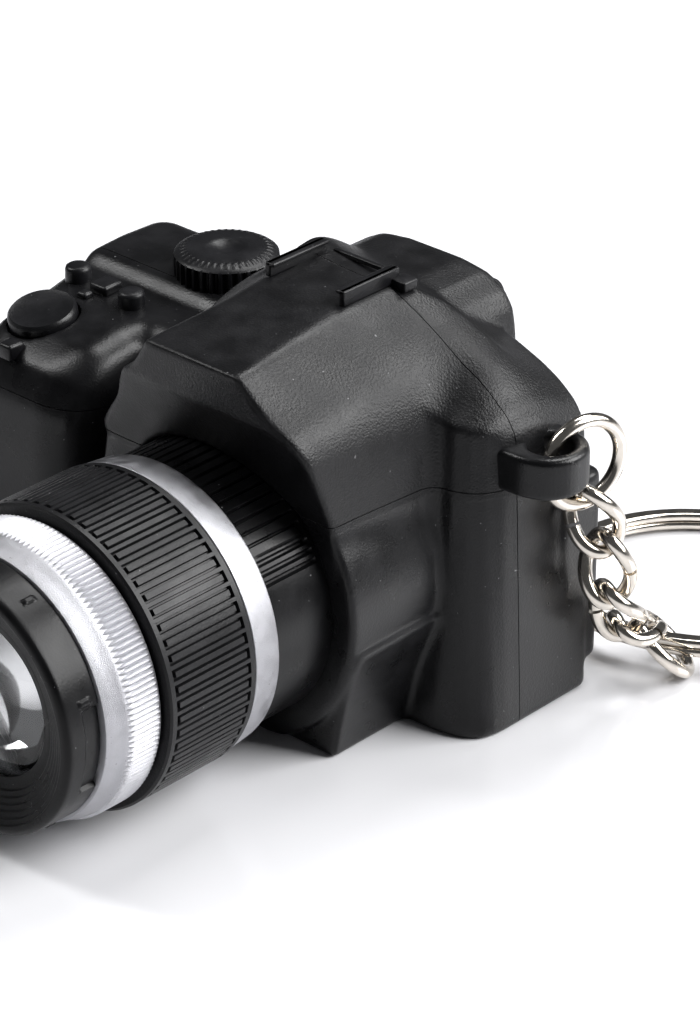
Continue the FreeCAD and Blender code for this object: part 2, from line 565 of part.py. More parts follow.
door_hole = (DOOR[0] + 1.9, DOOR[3] - 1.6)
door_plate = zone(DOOR[0] + 0.1, DOOR[1] - 0.1, 11.1, 12.5, DOOR[2] + 0.1, DOOR[3] - 0.1)
door_plate = door_plate.cut([bar(0.7, (door_hole[0], 10, door_hole[1]), (door_hole[0], 13, door_hole[1])),
                             bar(1.3, (door_hole[0], 11.8, door_hole[1]), (door_hole[0], 13, door_hole[1]))])
keep("battery_door", fixed("battery_door", door_plate))
keep("door_screw", fixed("door_screw", screws_at(
    [(door_hole[0], 11.8, door_hole[1])], (0, 1, 0), 3.4, 1.2, 0.6, 0.55)))

# ---------------------------------------------------------------- electrics

CELL_X, CELL_Z = 10.4, 10.0
HOLDER = (3.3, 16.5, 0.3, 10.5, 3.6, 16.8)
holder = zone(*HOLDER).cut([bar(dim("cell_rad") + 0.15, (CELL_X, 0.9, CELL_Z), (CELL_X, 12, CELL_Z)),
                            bar(0.55, (door_hole[0], 7.5, door_hole[1]), (door_hole[0], 12, door_hole[1]))])
keep("battery_holder", fixed("battery_holder", holder))
for i in range(3):
    start = f"{1.35 + i * 3.08} "
    keep(f"button_cell_{i + 1}", rod(f"button_cell_{i + 1}", "Dims.cell_rad", "Dims.cell_thick",
                                     x=CELL_X, y=start, z=CELL_Z, axis=(0, 1, 0)))
keep("cell_contacts", fixed("cell_contacts", Part.makeCompound(
    [bar(3.0, (CELL_X, 0.9, CELL_Z), (CELL_X, 1.34, CELL_Z)), bar(4.2, (CELL_X, 10.65, CELL_Z), (CELL_X, 11.05, CELL_Z))])))

board = zone(-9.9, 9.9, -9.2, -8.4, 4.5, 20.5)
board = board.cut([bar(0.55, (x, -10, z), (x, -8, z)) for x, z in POST_SPOTS])
keep("circuit_board", fixed("circuit_board", board))
keep("board_screws", fixed("board_screws", screws_at(
    [(x, -8.4, z) for x, z in POST_SPOTS], (0, 1, 0), 2.3, 0.95, 0.5, 0.45)))
chip = Part.makeSphere(5.5, Vector(0, -8.4 - 4.2, 14.6)).common(zone(-8, 8, -8.4, -4, 4, 22))
keep("sound_chip", fixed("sound_chip", chip))
keep("chip_resistors", fixed("chip_resistors", Part.makeCompound(
    [zone(x - 0.8, x + 0.8, -8.4, -7.9, 8.1, 9.0) for x in (-5.5, -2.0, 2.0)])))
keep("speaker", fixed("speaker", bar(6.2, (-21.5, 8.6, 13), (-21.5, 10.8, 13)).fuse(
    bar(3.0, (-21.5, 7.4, 13), (-21.5, 8.7, 13))).removeSplitter()))


def wire(points, radius):
    """An insulated wire: straight runs joined by arcs."""
    places = [Vector(*p) for p in points]
    edges, here = [], places[0]
    for before, corner, after in zip(places, places[1:], places[2:]):
        back, on = before - corner, after - corner
        half = back.getAngle(on) / 2
        reach = 0.42 * min(back.Length, on.Length)
        back.normalize()
        on.normalize()
        start, end = corner + back * reach, corner + on * reach
        bend = reach * math.tan(half)
        middle = corner + (back + on).normalize() * (bend / math.sin(half))
        edges.append(Part.makeLine(here, start))
        edges.append(Part.Arc(start, middle + (corner - middle).normalize() * bend, end).toShape())
        here = end
    edges.append(Part.makeLine(here, places[-1]))
    path = Part.Wire(edges)
    profile = Part.Wire(Part.makeCircle(radius, places[0], places[1] - places[0]))
    return path.makePipeShell([profile], True, False)


WIRES = {
    "lamp_wires": [[(x, dim("led_y") + 7.8, dim("axis_height")), (x, -9.2, dim("axis_height"))] for x in (-1.27, 1.27)],
    "battery_wires": [[(x, -8.4, 6.6), (x, -5.5, 6.6), (4.4 + x / 9, -3.5, 8.6), (4.4 + x / 9, -0.3, 8.6)]
                      for x in (1.6, 3.4)],
    "speaker_wires": [[(-21.5 + x, 7.4, 13), (-21.5 + x, 3.5, 13), (-15.5 + x, 0.5, 11 + x), (-9, -2.0, 11.5 + x),
                       (-6.4, -5.0, 11.5 + x), (-6.4, -8.4, 11.5 + x)] for x in (-1.2, 1.2)],
    "switch_wires": [[(-22.9, -3.6 + x, 16.4), (-19.0, -2.2 + x, 16.4), (-13.5, -1.4 + x, 17.4), (-8.2, -3.4 + x, 17.0 + x),
                      (-6.4, -5.6, 16.0 + x), (-6.4, -8.4, 16.0 + x)] for x in (-0.5, 0.5)],
}
for node, runs in WIRES.items():
    keep(node, fixed(node, Part.makeCompound([wire(run, 0.32) for run in runs])))

# ---------------------------------------------------------------- ring and chain

LUG_HOLE = Vector(dim("lug_x"), dim("lug_y"), dim("jump_z"))
RING_WAY = Vector(0.228, 0.974, 0)
JUMP_MIDDLE = LUG_HOLE + RING_WAY * dim("jump_reach")
# how each link lies: degrees from straight down, and towards which heading from +X
CHAIN = [(24.2, 40.0), (7.0, 22.8), (28.3, 94.2), (59.3, 100.8)]
END_LEAN, END_HEADING, END_ROLL = 47.4, 69.2, -9.6


def framed(x_way, z_way, at):
    """The placement whose own +Z is z_way and whose own +X is as near x_way as it can be."""
    return Placement(at, Rotation(x_way, Vector(), z_way, "ZXY"))


def leaning(lean, heading):
    """The direction that leaves straight down by lean degrees, towards heading degrees from +X."""
    tilt, turn = math.radians(lean), math.radians(heading)
    return Vector(math.sin(tilt) * math.cos(turn), math.sin(tilt) * math.sin(turn), -math.cos(tilt))


def link_path(half, wide, twist):
    """The middle of a link's wire: an oval with its length along Z, wrung by twist between its two ends."""
    places = []
    count = 32
    for i in range(count):
        turn = 2 * math.pi * i / count
        x = wide * math.cos(turn) * (1 + 0.10 * math.sin(turn) ** 2)
        z = half * math.sin(turn)
        wring = math.radians(twist) * z / (2 * half)
        places.append(Vector(x * math.cos(wring), x * math.sin(wring), z))
    curve = Part.BSplineCurve()
    curve.interpolate(places, True)
    return curve


def link_shape(half, wide, wire_rad, twist):
    curve = link_path(half, wide, twist)
    first, last = curve.FirstParameter, curve.LastParameter
    middle = (first + last) / 2
    spans = []
    for a, b in ((first, middle), (middle, last)):
        profile = Part.Wire(Part.makeCircle(wire_rad, curve.value(a), Vector(*curve.tangent(a)[0])))
        spans.append(Part.Wire(curve.toShape(a, b)).makePipeShell([profile], True, True))
    return spans[0].fuse(spans[1]).removeSplitter()


jump = doc.addObject("Part::Torus", "jump_ring")
jump.Placement = Placement(JUMP_MIDDLE, Rotation(Vector(0, 0, 1), Vector(-RING_WAY.y, RING_WAY.x, 0)))
keep("jump_ring", bind(jump, Radius1="Dims.jump_rad", Radius2="Dims.jump_wire"))

pivots = [("jump ring bottom", JUMP_MIDDLE - Vector(0, 0, dim("jump_rad")), RING_WAY)]
wrung = link_shape(dim("link_half"), dim("link_wide"), dim("link_wire"), dim("link_twist"))
before, across = Vector(0, 0, -1), RING_WAY
for number, (lean, heading) in enumerate(CHAIN, 1):
    down = leaning(lean, heading)
    seat = pivots[-1][1] - (before + down).normalize() * dim("link_seat")
    side = across.cross(down).normalize()
    half_wring = math.radians(dim("link_twist") / 2)
    wide_way = side * math.cos(half_wring) + down.cross(side) * math.sin(half_wring)
    middle = seat + down * dim("link_half")
    place = framed(wide_way, down * -1, middle)
    keep(f"chain_link_{number}", fixed(f"chain_link_{number}", seated(wrung, place)))
    across = place.Rotation.multVec(Vector(math.cos(half_wring), -math.sin(half_wring), 0))
    pivots.append((f"chain link {number} end", middle + down * dim("link_half"), across))
    before = down

plain = link_shape(dim("end_half"), dim("end_wide"), dim("link_wire"), 0.0)
down = leaning(END_LEAN, END_HEADING)
end_middle = pivots[-1][1] - (before + down).normalize() * dim("link_seat") + down * dim("end_half")
end_side = Rotation(down, END_ROLL).multVec(across.cross(down).normalize())
keep("end_link", fixed("end_link", seated(plain, framed(end_side, down * -1, end_middle))))


def split_ring_shape():
    """Two flat turns of wire, joined by a short step."""
    radius, wide, thick = dim("split_rad"), dim("split_wide"), dim("split_thick")
    turns = []
    for low in (-thick - 0.02, 0.02):
        disc = bar(radius + wide / 2, (0, 0, low), (0, 0, low + thick))
        turns.append(disc.cut(bar(radius - wide / 2, (0, 0, low - 1), (0, 0, low + thick + 1))))
    step = zone(radius - wide / 2 + 0.1, radius + wide / 2 - 0.1, -2.5, 2.5, -0.4, 0.4)
    return turns[0].fuse([turns[1], step]).removeSplitter()


ring_up = Vector(-0.019, 0.063, 1).normalize()
slope = math.hypot(ring_up.x, ring_up.y)
ring_height = (dim("split_rad") + dim("split_wide") / 2) * slope + (dim("split_thick") + 0.03) * ring_up.z + 0.04
ring_at = Vector(17.67, 30.96, ring_height)
offset = end_middle - ring_at
near_way = (offset - ring_up * offset.dot(ring_up)).normalize()
keep("split_ring", fixed("split_ring", seated(split_ring_shape(), framed(near_way * -1, ring_up, ring_at))))
pivots.append(("split ring middle", ring_at, ring_up))
pivots.append(("split ring near side", ring_at + near_way * dim("split_rad"), ring_up.cross(near_way)))

# ---------------------------------------------------------------- check and write

doc.recompute()
for thing in doc.Objects:
    if "Invalid" in thing.State or "Error" in thing.State:
        raise SystemExit(f"{thing.Label} failed: {thing.State}")
for node, thing in subparts.items():
    if thing.Shape.isNull() or not thing.Shape.isValid() or thing.Shape.Volume <= 0:
        raise SystemExit(f"{node} has no valid shape")
    if len(thing.Shape.Solids) != 1:
        print(node, "solids", len(thing.Shape.Solids))

os.makedirs("parts", exist_ok=True)
for node, thing in subparts.items():
    thing.Shape.exportStep(f"parts/{node}.step")
print(len(subparts), "sub-parts written")
for name, place, way in pivots:
    print("pivot", name, [round(c, 3) for c in place], [round(c, 5) for c in way])
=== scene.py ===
import math
from itertools import product

import bmesh
import bpy
import numpy as np
from mathutils import Matrix, Vector


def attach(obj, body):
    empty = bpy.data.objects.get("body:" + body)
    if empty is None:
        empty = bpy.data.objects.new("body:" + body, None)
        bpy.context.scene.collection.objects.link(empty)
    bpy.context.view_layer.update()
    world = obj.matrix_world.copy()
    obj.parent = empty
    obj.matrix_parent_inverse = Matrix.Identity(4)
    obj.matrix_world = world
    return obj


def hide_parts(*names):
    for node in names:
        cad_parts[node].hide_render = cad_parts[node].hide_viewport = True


# Looks of the key-ring camera. Lengths are in millimetres until a mesh is made, and MM turns them into metres.

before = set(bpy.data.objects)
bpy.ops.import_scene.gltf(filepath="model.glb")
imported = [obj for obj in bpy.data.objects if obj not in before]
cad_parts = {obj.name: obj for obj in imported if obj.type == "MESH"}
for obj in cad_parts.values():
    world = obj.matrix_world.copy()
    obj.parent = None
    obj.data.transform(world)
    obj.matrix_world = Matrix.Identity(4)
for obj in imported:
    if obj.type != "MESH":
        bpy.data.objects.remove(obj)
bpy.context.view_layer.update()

MM = 0.001
TURN = 2 * math.pi
AXIS_Z = 13.7
SEAM_Z, SEAM_Y, SEAM_HALF = 22.6, 3.3, 0.04
WALL = 1.4
VOXEL = 0.265

# ---------------------------------------------------------------- meshes


def mesh_object(name, points, faces):
    """An object from points in millimetres and faces; all-quad faces may come as an array."""
    mesh = bpy.data.meshes.new(name)
    points = np.asarray(points, float) * MM
    if isinstance(faces, np.ndarray):
        mesh.vertices.add(len(points))
        mesh.vertices.foreach_set("co", points.ravel().astype(np.float32))
        size = faces.shape[1]
        mesh.loops.add(faces.size)
        mesh.loops.foreach_set("vertex_index", faces.ravel().astype(np.int32))
        mesh.polygons.add(len(faces))
        mesh.polygons.foreach_set("loop_start", np.arange(0, faces.size, size, dtype=np.int32))
        mesh.update(calc_edges=True)
        mesh.validate()
    else:
        mesh.from_pydata(points.tolist(), [], faces)
    made = bpy.data.objects.new(name, mesh)
    bpy.context.scene.collection.objects.link(made)
    return made


def smooth(made, angle=40):
    """Smooth shading, with edges over that angle kept sharp."""
    made.data.polygons.foreach_set("use_smooth", [True] * len(made.data.polygons))
    made.data.set_sharp_from_angle(angle=math.radians(angle))
    return made


def edit(made, work):
    """Runs work(bm) on the object's mesh."""
    bm = bmesh.new()
    bm.from_mesh(made.data)
    work(bm)
    bm.to_mesh(made.data)
    bm.free()
    made.data.update()
    return made


def clean(made):
    """Merges doubled points and turns every face outwards."""
    def work(bm):
        bmesh.ops.remove_doubles(bm, verts=bm.verts, dist=1e-7)
        bmesh.ops.recalc_face_normals(bm, faces=bm.faces)
    return edit(made, work)


def bevelled(made, width, segments=2, angle=30):
    """Applies a bevel to the mesh's sharp edges."""
    def work(bm):
        sharp = [e for e in bm.edges if len(e.link_faces) == 2 and e.calc_face_angle(0) > math.radians(angle)]
        bmesh.ops.bevel(bm, geom=sharp, offset=width * MM, segments=segments, profile=0.5,
                        affect="EDGES", clamp_overlap=True)
    return edit(made, work)


def eased(points, radius, steps=3, closed=True):
    """A profile with rounded corners; a point's third number is its own radius."""
    out = []
    count = len(points)
    for i, point in enumerate(points):
        here = np.array(point[:2], float)
        own = point[2] if len(point) > 2 else radius
        if not closed and i in (0, count - 1):
            out.append(here)
            continue
        back = np.array(points[i - 1][:2], float) - here
        on = np.array(points[(i + 1) % count][:2], float) - here
        lengths = np.hypot(*back), np.hypot(*on)
        reach = min(own, 0.45 * lengths[0], 0.45 * lengths[1])
        if reach < 1e-6:
            out.append(here)
            continue
        start, end = here + back * reach / lengths[0], here + on * reach / lengths[1]
        for k in range(steps + 1):
            t = k / steps
            out.append((1 - t) ** 2 * start + 2 * t * (1 - t) * here + t * t * end)
    return np.array(out)


def lathe(name, profile, place=None, angles=None, closed=True, relief=None, drop=None):
    """A turned piece about the local Z axis, from a profile of (radius, height).

    relief changes the radii and drop changes the heights, each as a function of turn, height and radius.
    """
    angles = np.linspace(0, TURN, 192, endpoint=False) if angles is None else angles
    radius, height = profile[:, 0][None, :], profile[:, 1][None, :]
    turn = angles[:, None]
    rows = radius + (relief(turn, height, radius) if relief else 0 * turn)
    lifts = height + (drop(turn, height, radius) if drop else 0 * turn)
    points = np.stack([rows * np.cos(turn), rows * np.sin(turn), lifts + 0 * rows], -1)
    count, size = points.shape[:2]
    index = np.arange(count * size).reshape(count, size)
    across = np.roll(index, -1, 0)
    if closed:
        quads = np.stack([index, np.roll(index, -1, 1), np.roll(across, -1, 1), across], -1)
    else:
        quads = np.stack([index[:, :-1], index[:, 1:], across[:, 1:], across[:, :-1]], -1)
    flat = points.reshape(-1, 3)
    if place is not None:
        turned = np.array(place.to_3x3())
        flat = flat @ turned.T + np.array(place.translation)
    return clean(mesh_object(name, flat, quads.reshape(-1, 4)))


def swept(name, path, radius, closed=True, sides=14):
    """A round wire along a path of points."""
    path = np.asarray(path, float)
    ahead = np.roll(path, -1, 0) - np.roll(path, 1, 0)
    if not closed:
        ahead[0], ahead[-1] = path[1] - path[0], path[-1] - path[-2]
    ahead /= np.linalg.norm(ahead, axis=1)[:, None]
    side = np.cross(ahead[0], [0.3, 0.5, 0.81])
    ring = np.linspace(0, TURN, sides, endpoint=False)
    points = []
    for at, way in zip(path, ahead):
        side = side - way * np.dot(side, way)
        side /= np.linalg.norm(side)
        up = np.cross(way, side)
        points.append(at + radius * (np.outer(np.cos(ring), side) + np.outer(np.sin(ring), up)))
    if not closed:
        points = [points[0] * 0.4 + path[0] * 0.6] + points + [points[-1] * 0.4 + path[-1] * 0.6]
    flat = np.concatenate(points)
    count = len(points)
    index = np.arange(count * sides).reshape(count, sides)
    if not closed:
        faces = np.stack([index[:-1], np.roll(index[:-1], -1, 1), np.roll(index[1:], -1, 1), index[1:]], -1)
        faces = faces.reshape(-1, 4).tolist()
        faces += [index[0].tolist(), index[-1].tolist()]
        return clean(mesh_object(name, flat, faces))
    # close the sweep where the two ends' rings meet best
    shift = min(range(sides), key=lambda s: np.abs(np.roll(points[0], -s, 0) - points[-1]).sum())
    index = np.vstack([index, np.roll(index[0], -shift)])
    quads = np.stack([index[:-1], np.roll(index[:-1], -1, 1), np.roll(index[1:], -1, 1), index[1:]], -1)
    return clean(mesh_object(name, flat, quads.reshape(-1, 4)))


def boxes(name, corners, bevel, place=None, segments=3):
    """Rounded boxes in one mesh; each is (x0, x1, y0, y1, z0, z1)."""
    points, faces = [], []
    for x0, x1, y0, y1, z0, z1 in corners:
        base = len(points)
        points += [(x, y, z) for x in (x0, x1) for y in (y0, y1) for z in (z0, z1)]
        faces += [[base + i for i in f] for f in
                  ((0, 1, 3, 2), (4, 6, 7, 5), (0, 4, 5, 1), (2, 3, 7, 6), (0, 2, 6, 4), (1, 5, 7, 3))]
    if place is not None:
        points = [place @ Vector(p) for p in points]
    made = clean(mesh_object(name, [tuple(p) for p in points], faces))
    return smooth(bevelled(made, bevel, segments), 50)


def joined(name, *parts):
    """One mesh from several objects."""
    with bpy.context.temp_override(active_object=parts[0], selected_editable_objects=list(parts)):
        bpy.ops.object.join()
    parts[0].name = parts[0].data.name = name
    return parts[0]


# ---------------------------------------------------------------- solid fields: below 0 inside, in millimetres


class Grid:
    """A box of evenly spaced points."""

    def __init__(self, low, high, step):
        self.low, self.step = np.array(low, float), step
        ticks = [np.arange(a, b + step, step, dtype=np.float32) for a, b in zip(low, high)]
        self.x, self.y, self.z = ticks[0][:, None, None], ticks[1][None, :, None], ticks[2][None, None, :]


def low_join(a, b, blend):
    """Union of two fields with a rounded inside corner."""
    share = np.clip(0.5 + 0.5 * (b - a) / blend, 0, 1)
    return b + (a - b) * share - blend * share * (1 - share)


def high_join(a, b, blend):
    """Intersection of two fields with a rounded edge."""
    return -low_join(-a, -b, blend)


def polygon(points, u, v):
    """Signed distance to a closed polygon on the plane of u and v."""
    u, v = np.broadcast_arrays(u, v)
    best = np.full(u.shape, 1e9, np.float32)
    inside = np.zeros(u.shape, bool)
    for (au, av), (bu, bv) in zip(points, points[1:] + points[:1]):
        eu, ev = bu - au, bv - av
        t = np.clip(((u - au) * eu + (v - av) * ev) / (eu * eu + ev * ev), 0, 1)
        best = np.minimum(best, (u - au - t * eu) ** 2 + (v - av - t * ev) ** 2)
        if ev:
            inside ^= ((av > v) != (bv > v)) & (u < eu * (v - av) / ev + au)
    return np.where(inside, -1, 1) * np.sqrt(best)


def plan_box(u, v, u0, u1, v0, v1, radii):
    """Signed distance to a rectangle; radii are those of corners (u0, v0), (u1, v0), (u1, v1), (u0, v1)."""
    mu, mv = (u0 + u1) / 2, (v0 + v1) / 2
    right, far = u > mu, v > mv
    r = np.where(far, np.where(right, radii[2], radii[3]), np.where(right, radii[1], radii[0]))
    qu, qv = np.abs(u - mu) - (u1 - u0) / 2 + r, np.abs(v - mv) - (v1 - v0) / 2 + r
    return np.minimum(np.maximum(qu, qv), 0) + np.hypot(np.maximum(qu, 0), np.maximum(qv, 0)) - r


def smooth_line(x, knots, values):
    """A smooth curve through values at knots, straight beyond the ends. values may be arrays of one shape."""
    knots = list(knots)
    slopes = [(values[i + 1] - values[i]) / (knots[i + 1] - knots[i]) for i in range(len(knots) - 1)]
    tangents = [slopes[0]] + [(a + b) / 2 for a, b in zip(slopes, slopes[1:])] + [slopes[-1]]
    result = values[0] + tangents[0] * (x - knots[0])
    for i, (a, b) in enumerate(zip(knots, knots[1:])):
        span = b - a
        t = (x - a) / span
        piece = ((2 * t ** 3 - 3 * t ** 2 + 1) * values[i] + (t ** 3 - 2 * t ** 2 + t) * span * tangents[i]
                 + (3 * t ** 2 - 2 * t ** 3) * values[i + 1] + (t ** 3 - t ** 2) * span * tangents[i + 1])
        result = np.where(x >= a, piece, result)
    return np.where(x > knots[-1], values[-1] + tangents[-1] * (x - knots[-1]), result)


def cylinder_field(g, radius, start, end):
    """Distance to a cylinder from one point to another."""
    start, end = np.array(start, float), np.array(end, float)
    way = (end - start) / np.linalg.norm(end - start)
    dx, dy, dz = g.x - start[0], g.y - start[1], g.z - start[2]
    along = dx * way[0] + dy * way[1] + dz * way[2]
    out = np.sqrt(np.maximum(dx * dx + dy * dy + dz * dz - along * along, 0))
    return np.maximum(out - radius, np.abs(along - np.linalg.norm(end - start) / 2) - np.linalg.norm(end - start) / 2)


def box_field(g, x0, x1, y0, y1, z0, z1):
    return np.maximum(np.maximum(np.abs(g.x - (x0 + x1) / 2) - (x1 - x0) / 2,
                                 np.abs(g.y - (y0 + y1) / 2) - (y1 - y0) / 2),
                      np.abs(g.z - (z0 + z1) / 2) - (z1 - z0) / 2)


def softened(field, rounds):
    """The field with its edges eased, by a small blur along each axis."""
    for _ in range(rounds):
        for axis in range(3):
            padded = np.pad(field, [(1, 1) if a == axis else (0, 0) for a in range(3)], mode="edge")
            parts = [np.take(padded, range(k, k + field.shape[axis]), axis) for k in range(3)]
            field = (parts[0] + 2 * parts[1] + parts[2]) / 4
    return field


def sampled(field, spots):
    """The field's value between grid points; spots are in grid steps."""
    base = np.clip(np.floor(spots).astype(int), 0, np.array(field.shape) - 2)
    t = spots - base
    total = 0
    for i, j, k in product((0, 1), repeat=3):
        weight = (t[:, 0] if i else 1 - t[:, 0]) * (t[:, 1] if j else 1 - t[:, 1]) * (t[:, 2] if k else 1 - t[:, 2])
        total = total + weight * field[base[:, 0] + i, base[:, 1] + j, base[:, 2] + k]
    return total


def net(name, g, field):
    """A closed quad mesh over the field's zero level."""
    inside = field < 0
    shape = np.array(field.shape) - 1
    count = sum(inside[i:shape[0] + i, j:shape[1] + j, k:shape[2] + k].astype(np.uint8)
                for i, j, k in product((0, 1), repeat=3))
    active = (count > 0) & (count < 8)
    cells = np.argwhere(active)
    ids = np.full(active.shape, -1, np.int32)
    ids[active] = np.arange(len(cells))
    total, hits = np.zeros((len(cells), 3)), np.zeros(len(cells))
    for axis in range(3):
        others = [a for a in range(3) if a != axis]
        for i, j in product((0, 1), repeat=2):
            start = cells.copy()
            start[:, others[0]] += i
            start[:, others[1]] += j
            end = start.copy()
            end[:, axis] += 1
            a, b = field[tuple(start.T)], field[tuple(end.T)]
            cross = (a < 0) != (b < 0)
            spot = start[cross].astype(float)
            spot[:, axis] += a[cross] / (a[cross] - b[cross])
            total[cross] += spot
            hits[cross] += 1
    spots = total / hits[:, None]
    quads = []
    for axis in range(3):
        u, v = (axis + 1) % 3, (axis + 2) % 3
        a = np.take(inside, range(shape[axis]), axis)
        b = np.take(inside, range(1, shape[axis] + 1), axis)
        change = a != b
        trim = [slice(1, shape[k]) if k != axis else slice(None) for k in range(3)]
        nodes = np.argwhere(change[tuple(trim)])
        nodes[:, u] += 1
        nodes[:, v] += 1
        step_u, step_v = np.eye(3, dtype=int)[u], np.eye(3, dtype=int)[v]
        quad = np.stack([ids[tuple((nodes - s).T)] for s in (0 * step_u, step_u, step_u + step_v, step_v)], -1)
        outward = a[tuple(nodes.T)]
        quads.append(np.where(outward[:, None], quad, quad[:, ::-1]))
    quads = np.concatenate(quads)
    for _ in range(2):
        # ease the steps of the grid, then draw the points back to the surface
        total, hits = np.zeros_like(spots), np.zeros(len(spots))
        for k in range(4):
            np.add.at(total, quads[:, k], spots[quads[:, (k + 1) % 4]])
            np.add.at(total, quads[:, k], spots[quads[:, (k + 3) % 4]])
            np.add.at(hits, quads[:, k], 2)
        spots = 0.5 * spots + 0.5 * total / hits[:, None]
        for _ in range(2):
            value = sampled(field, spots) / g.step
            slope = np.stack([(sampled(field, spots + d) - sampled(field, spots - d)) / g.step
                              for d in 0.5 * np.eye(3)], -1)
            size = np.maximum((slope ** 2).sum(1), 0.2)
            spots -= np.clip((value / size)[:, None] * slope, -0.4, 0.4)
    return mesh_object(name, g.low + spots * g.step, quads)


# ---------------------------------------------------------------- casing

HUMP_SIDES = [
    # y, then (half width, height) of the prism hump from its foot up to the edge of its top plate
    (-17.0, [(12.4, 22.0), (12.4, 26.0), (12.0, 29.2), (10.6, 31.0), (8.5, 32.2), (6.9, 33.7), (5.7, 35.2)]),
    (-9.0, [(12.9, 22.0), (12.7, 26.2), (12.1, 29.2), (10.9, 31.2), (8.9, 32.9), (6.8, 34.5), (4.7, 36.0)]),
    (-1.0, [(13.5, 22.0), (13.3, 26.4), (12.7, 29.4), (11.6, 31.5), (9.8, 33.3), (7.6, 34.8), (4.9, 36.1)]),
    (5.6, [(13.5, 22.0), (13.4, 26.6), (12.9, 29.6), (11.9, 31.5), (10.2, 33.0), (8.2, 34.4), (5.6, 35.8)]),
]
# height, then how much narrower the hump is on its left
LEFT_NARROWER = [(22.0, -1.2), (23.5, -1.0), (25.5, 0.4), (28.0, 2.2), (30.0, 2.5), (31.6, 2.0), (33.5, 1.3),
                 (35.4, 0.8)]
SHOULDER_TOPS = [
    # y, then (x, height) along the top of the right shoulder
    (-1.0, [(0.0, 32.8), (9.4, 30.6), (12.2, 29.2), (14.4, 28.3), (16.3, 27.8),
            (17.7, 27.0), (18.7, 24.6), (19.2, 21.0)]),
    (5.0, [(0.0, 35.6), (9.8, 33.4), (12.2, 32.4), (14.4, 31.5), (16.6, 29.7),
           (18.2, 27.9), (19.1, 25.4), (19.4, 21.0)]),
    (12.5, [(0.0, 32.0), (9.5, 30.6), (12.2, 29.7), (14.4, 28.8), (16.4, 27.6),
            (17.9, 26.1), (18.8, 24.0), (19.3, 21.0)]),
]
# the right shoulder's outline at the floor and at the seam: its front leans back and its corner widens upwards
FLOOR_PLAN = [(-6, -2.8), (13.1, -2.8), (15.2, -2.75), (16.8, -2.4), (18.2, -1.8), (19.2, -0.9), (19.6, 0.2),
              (19.75, 1.5), (19.75, 11.8), (19.1, 12.5), (-6, 12.5)]
SEAM_PLAN = [(-6, -1.2), (13.6, -1.2), (15.4, -1.0), (16.8, -0.4), (17.8, 0.6), (18.5, 2.0), (18.9, 3.6), (19.0, 5.4),
             (19.0, 11.8), (18.4, 12.5), (-6, 12.5)]
SCREW_SPOTS = [(-27.0, 5.2), (-14.9, 5.2), (14.6, 20.4)]
BUTTON_SEAT = Matrix.Translation((-26.6, -7.2, 27.0)) @ Matrix.Rotation(math.radians(12), 4, "X")
DIAL_SEAT = Matrix.Translation((-18.3, 7.2, 28.75))
LENS = Matrix.Translation((0, 0, AXIS_Z)) @ Matrix.Rotation(math.radians(90), 4, "X")
DOOR = (2.7, 16.1, 3.2, 17.0)
SCREEN = (-13.6, 0.2, 4.4, 15.2)


def normalised(height, *axes):
    """1 / length of the gradient of (something minus height)."""
    slopes = np.gradient(height, VOXEL)
    return 1 / np.sqrt(1 + sum(slopes[a] ** 2 for a in axes))


def hump_field(g):
    y, z = g.y[0], g.z[0]
    rows = [smooth_line(z, [s[1] for s in sides], [s[0] for s in sides]) for _, sides in HUMP_SIDES]
    half = smooth_line(y, [row[0] for row in HUMP_SIDES], rows)
    narrower = smooth_line(z, [row[0] for row in LEFT_NARROWER], [row[1] for row in LEFT_NARROWER])
    left = half - np.clip(narrower, -1.5, 3) * np.clip((2 - y) / 8, 0, 1)
    side = np.maximum(g.x - half[None], -g.x - left[None]) * normalised(half, 0, 1)[None]
    outline = [(-12.3, 18.0), (-12.3, 22.0), (-15.6, 31.2), (-16.1, 35.15), (-2.0, 36.3), (3.0, 36.3), (5.4, 35.8),
               (7.0, 34.6), (7.6, 18.0)]
    return high_join(side, polygon(outline, y, z)[None], 0.35)


def shoulder_field(g):
    x, y = g.x[:, :, 0], g.y[:, :, 0]
    rows = [smooth_line(x, [t[0] for t in tops], [t[1] for t in tops]) for _, tops in SHOULDER_TOPS]
    top = smooth_line(y, [row[0] for row in SHOULDER_TOPS], rows)
    roof = (g.z - top[:, :, None]) * normalised(top, 0, 1)[:, :, None]
    low, high = polygon(FLOOR_PLAN, x, y)[:, :, None], polygon(SEAM_PLAN, x, y)[:, :, None]
    wall = low + (high - low) * g.z / SEAM_Z
    return high_join(high_join(roof, wall, 0.35), -g.z, 0.7)


def grip_field(g):
    x, y = g.x[:, :, 0], g.y[:, :, 0]
    grip = plan_box(x, y, -31.4, -16.4, -14.4, 12.5, (5.2, 5.2, 0.4, 2.4))
    web = plan_box(x, y, -26.0, 1.0, -4.2, 12.5, (1.0, 0.4, 0.4, 1.0))
    column = low_join(grip, web, 1.4)[:, :, None]
    profile = [(20, -8), (20, 27.8), (11.6, 29.1), (6.5, 29.25), (2.6, 29.0), (1.3, 27.9), (-3.0, 27.7), (-5.4, 27.6),
               (-9.0, 27.0), (-12.4, 25.4), (-14.6, 22.4), (-15.4, 18.0), (-16.6, -8)]
    deck = softened(polygon(profile, g.y[0], g.z[0])[None], 3)
    rounding = 1.9 + 2.5 * np.clip((1.0 - g.y) / 6, 0, 1)
    return high_join(high_join(column, deck, rounding), -g.z, 0.7)


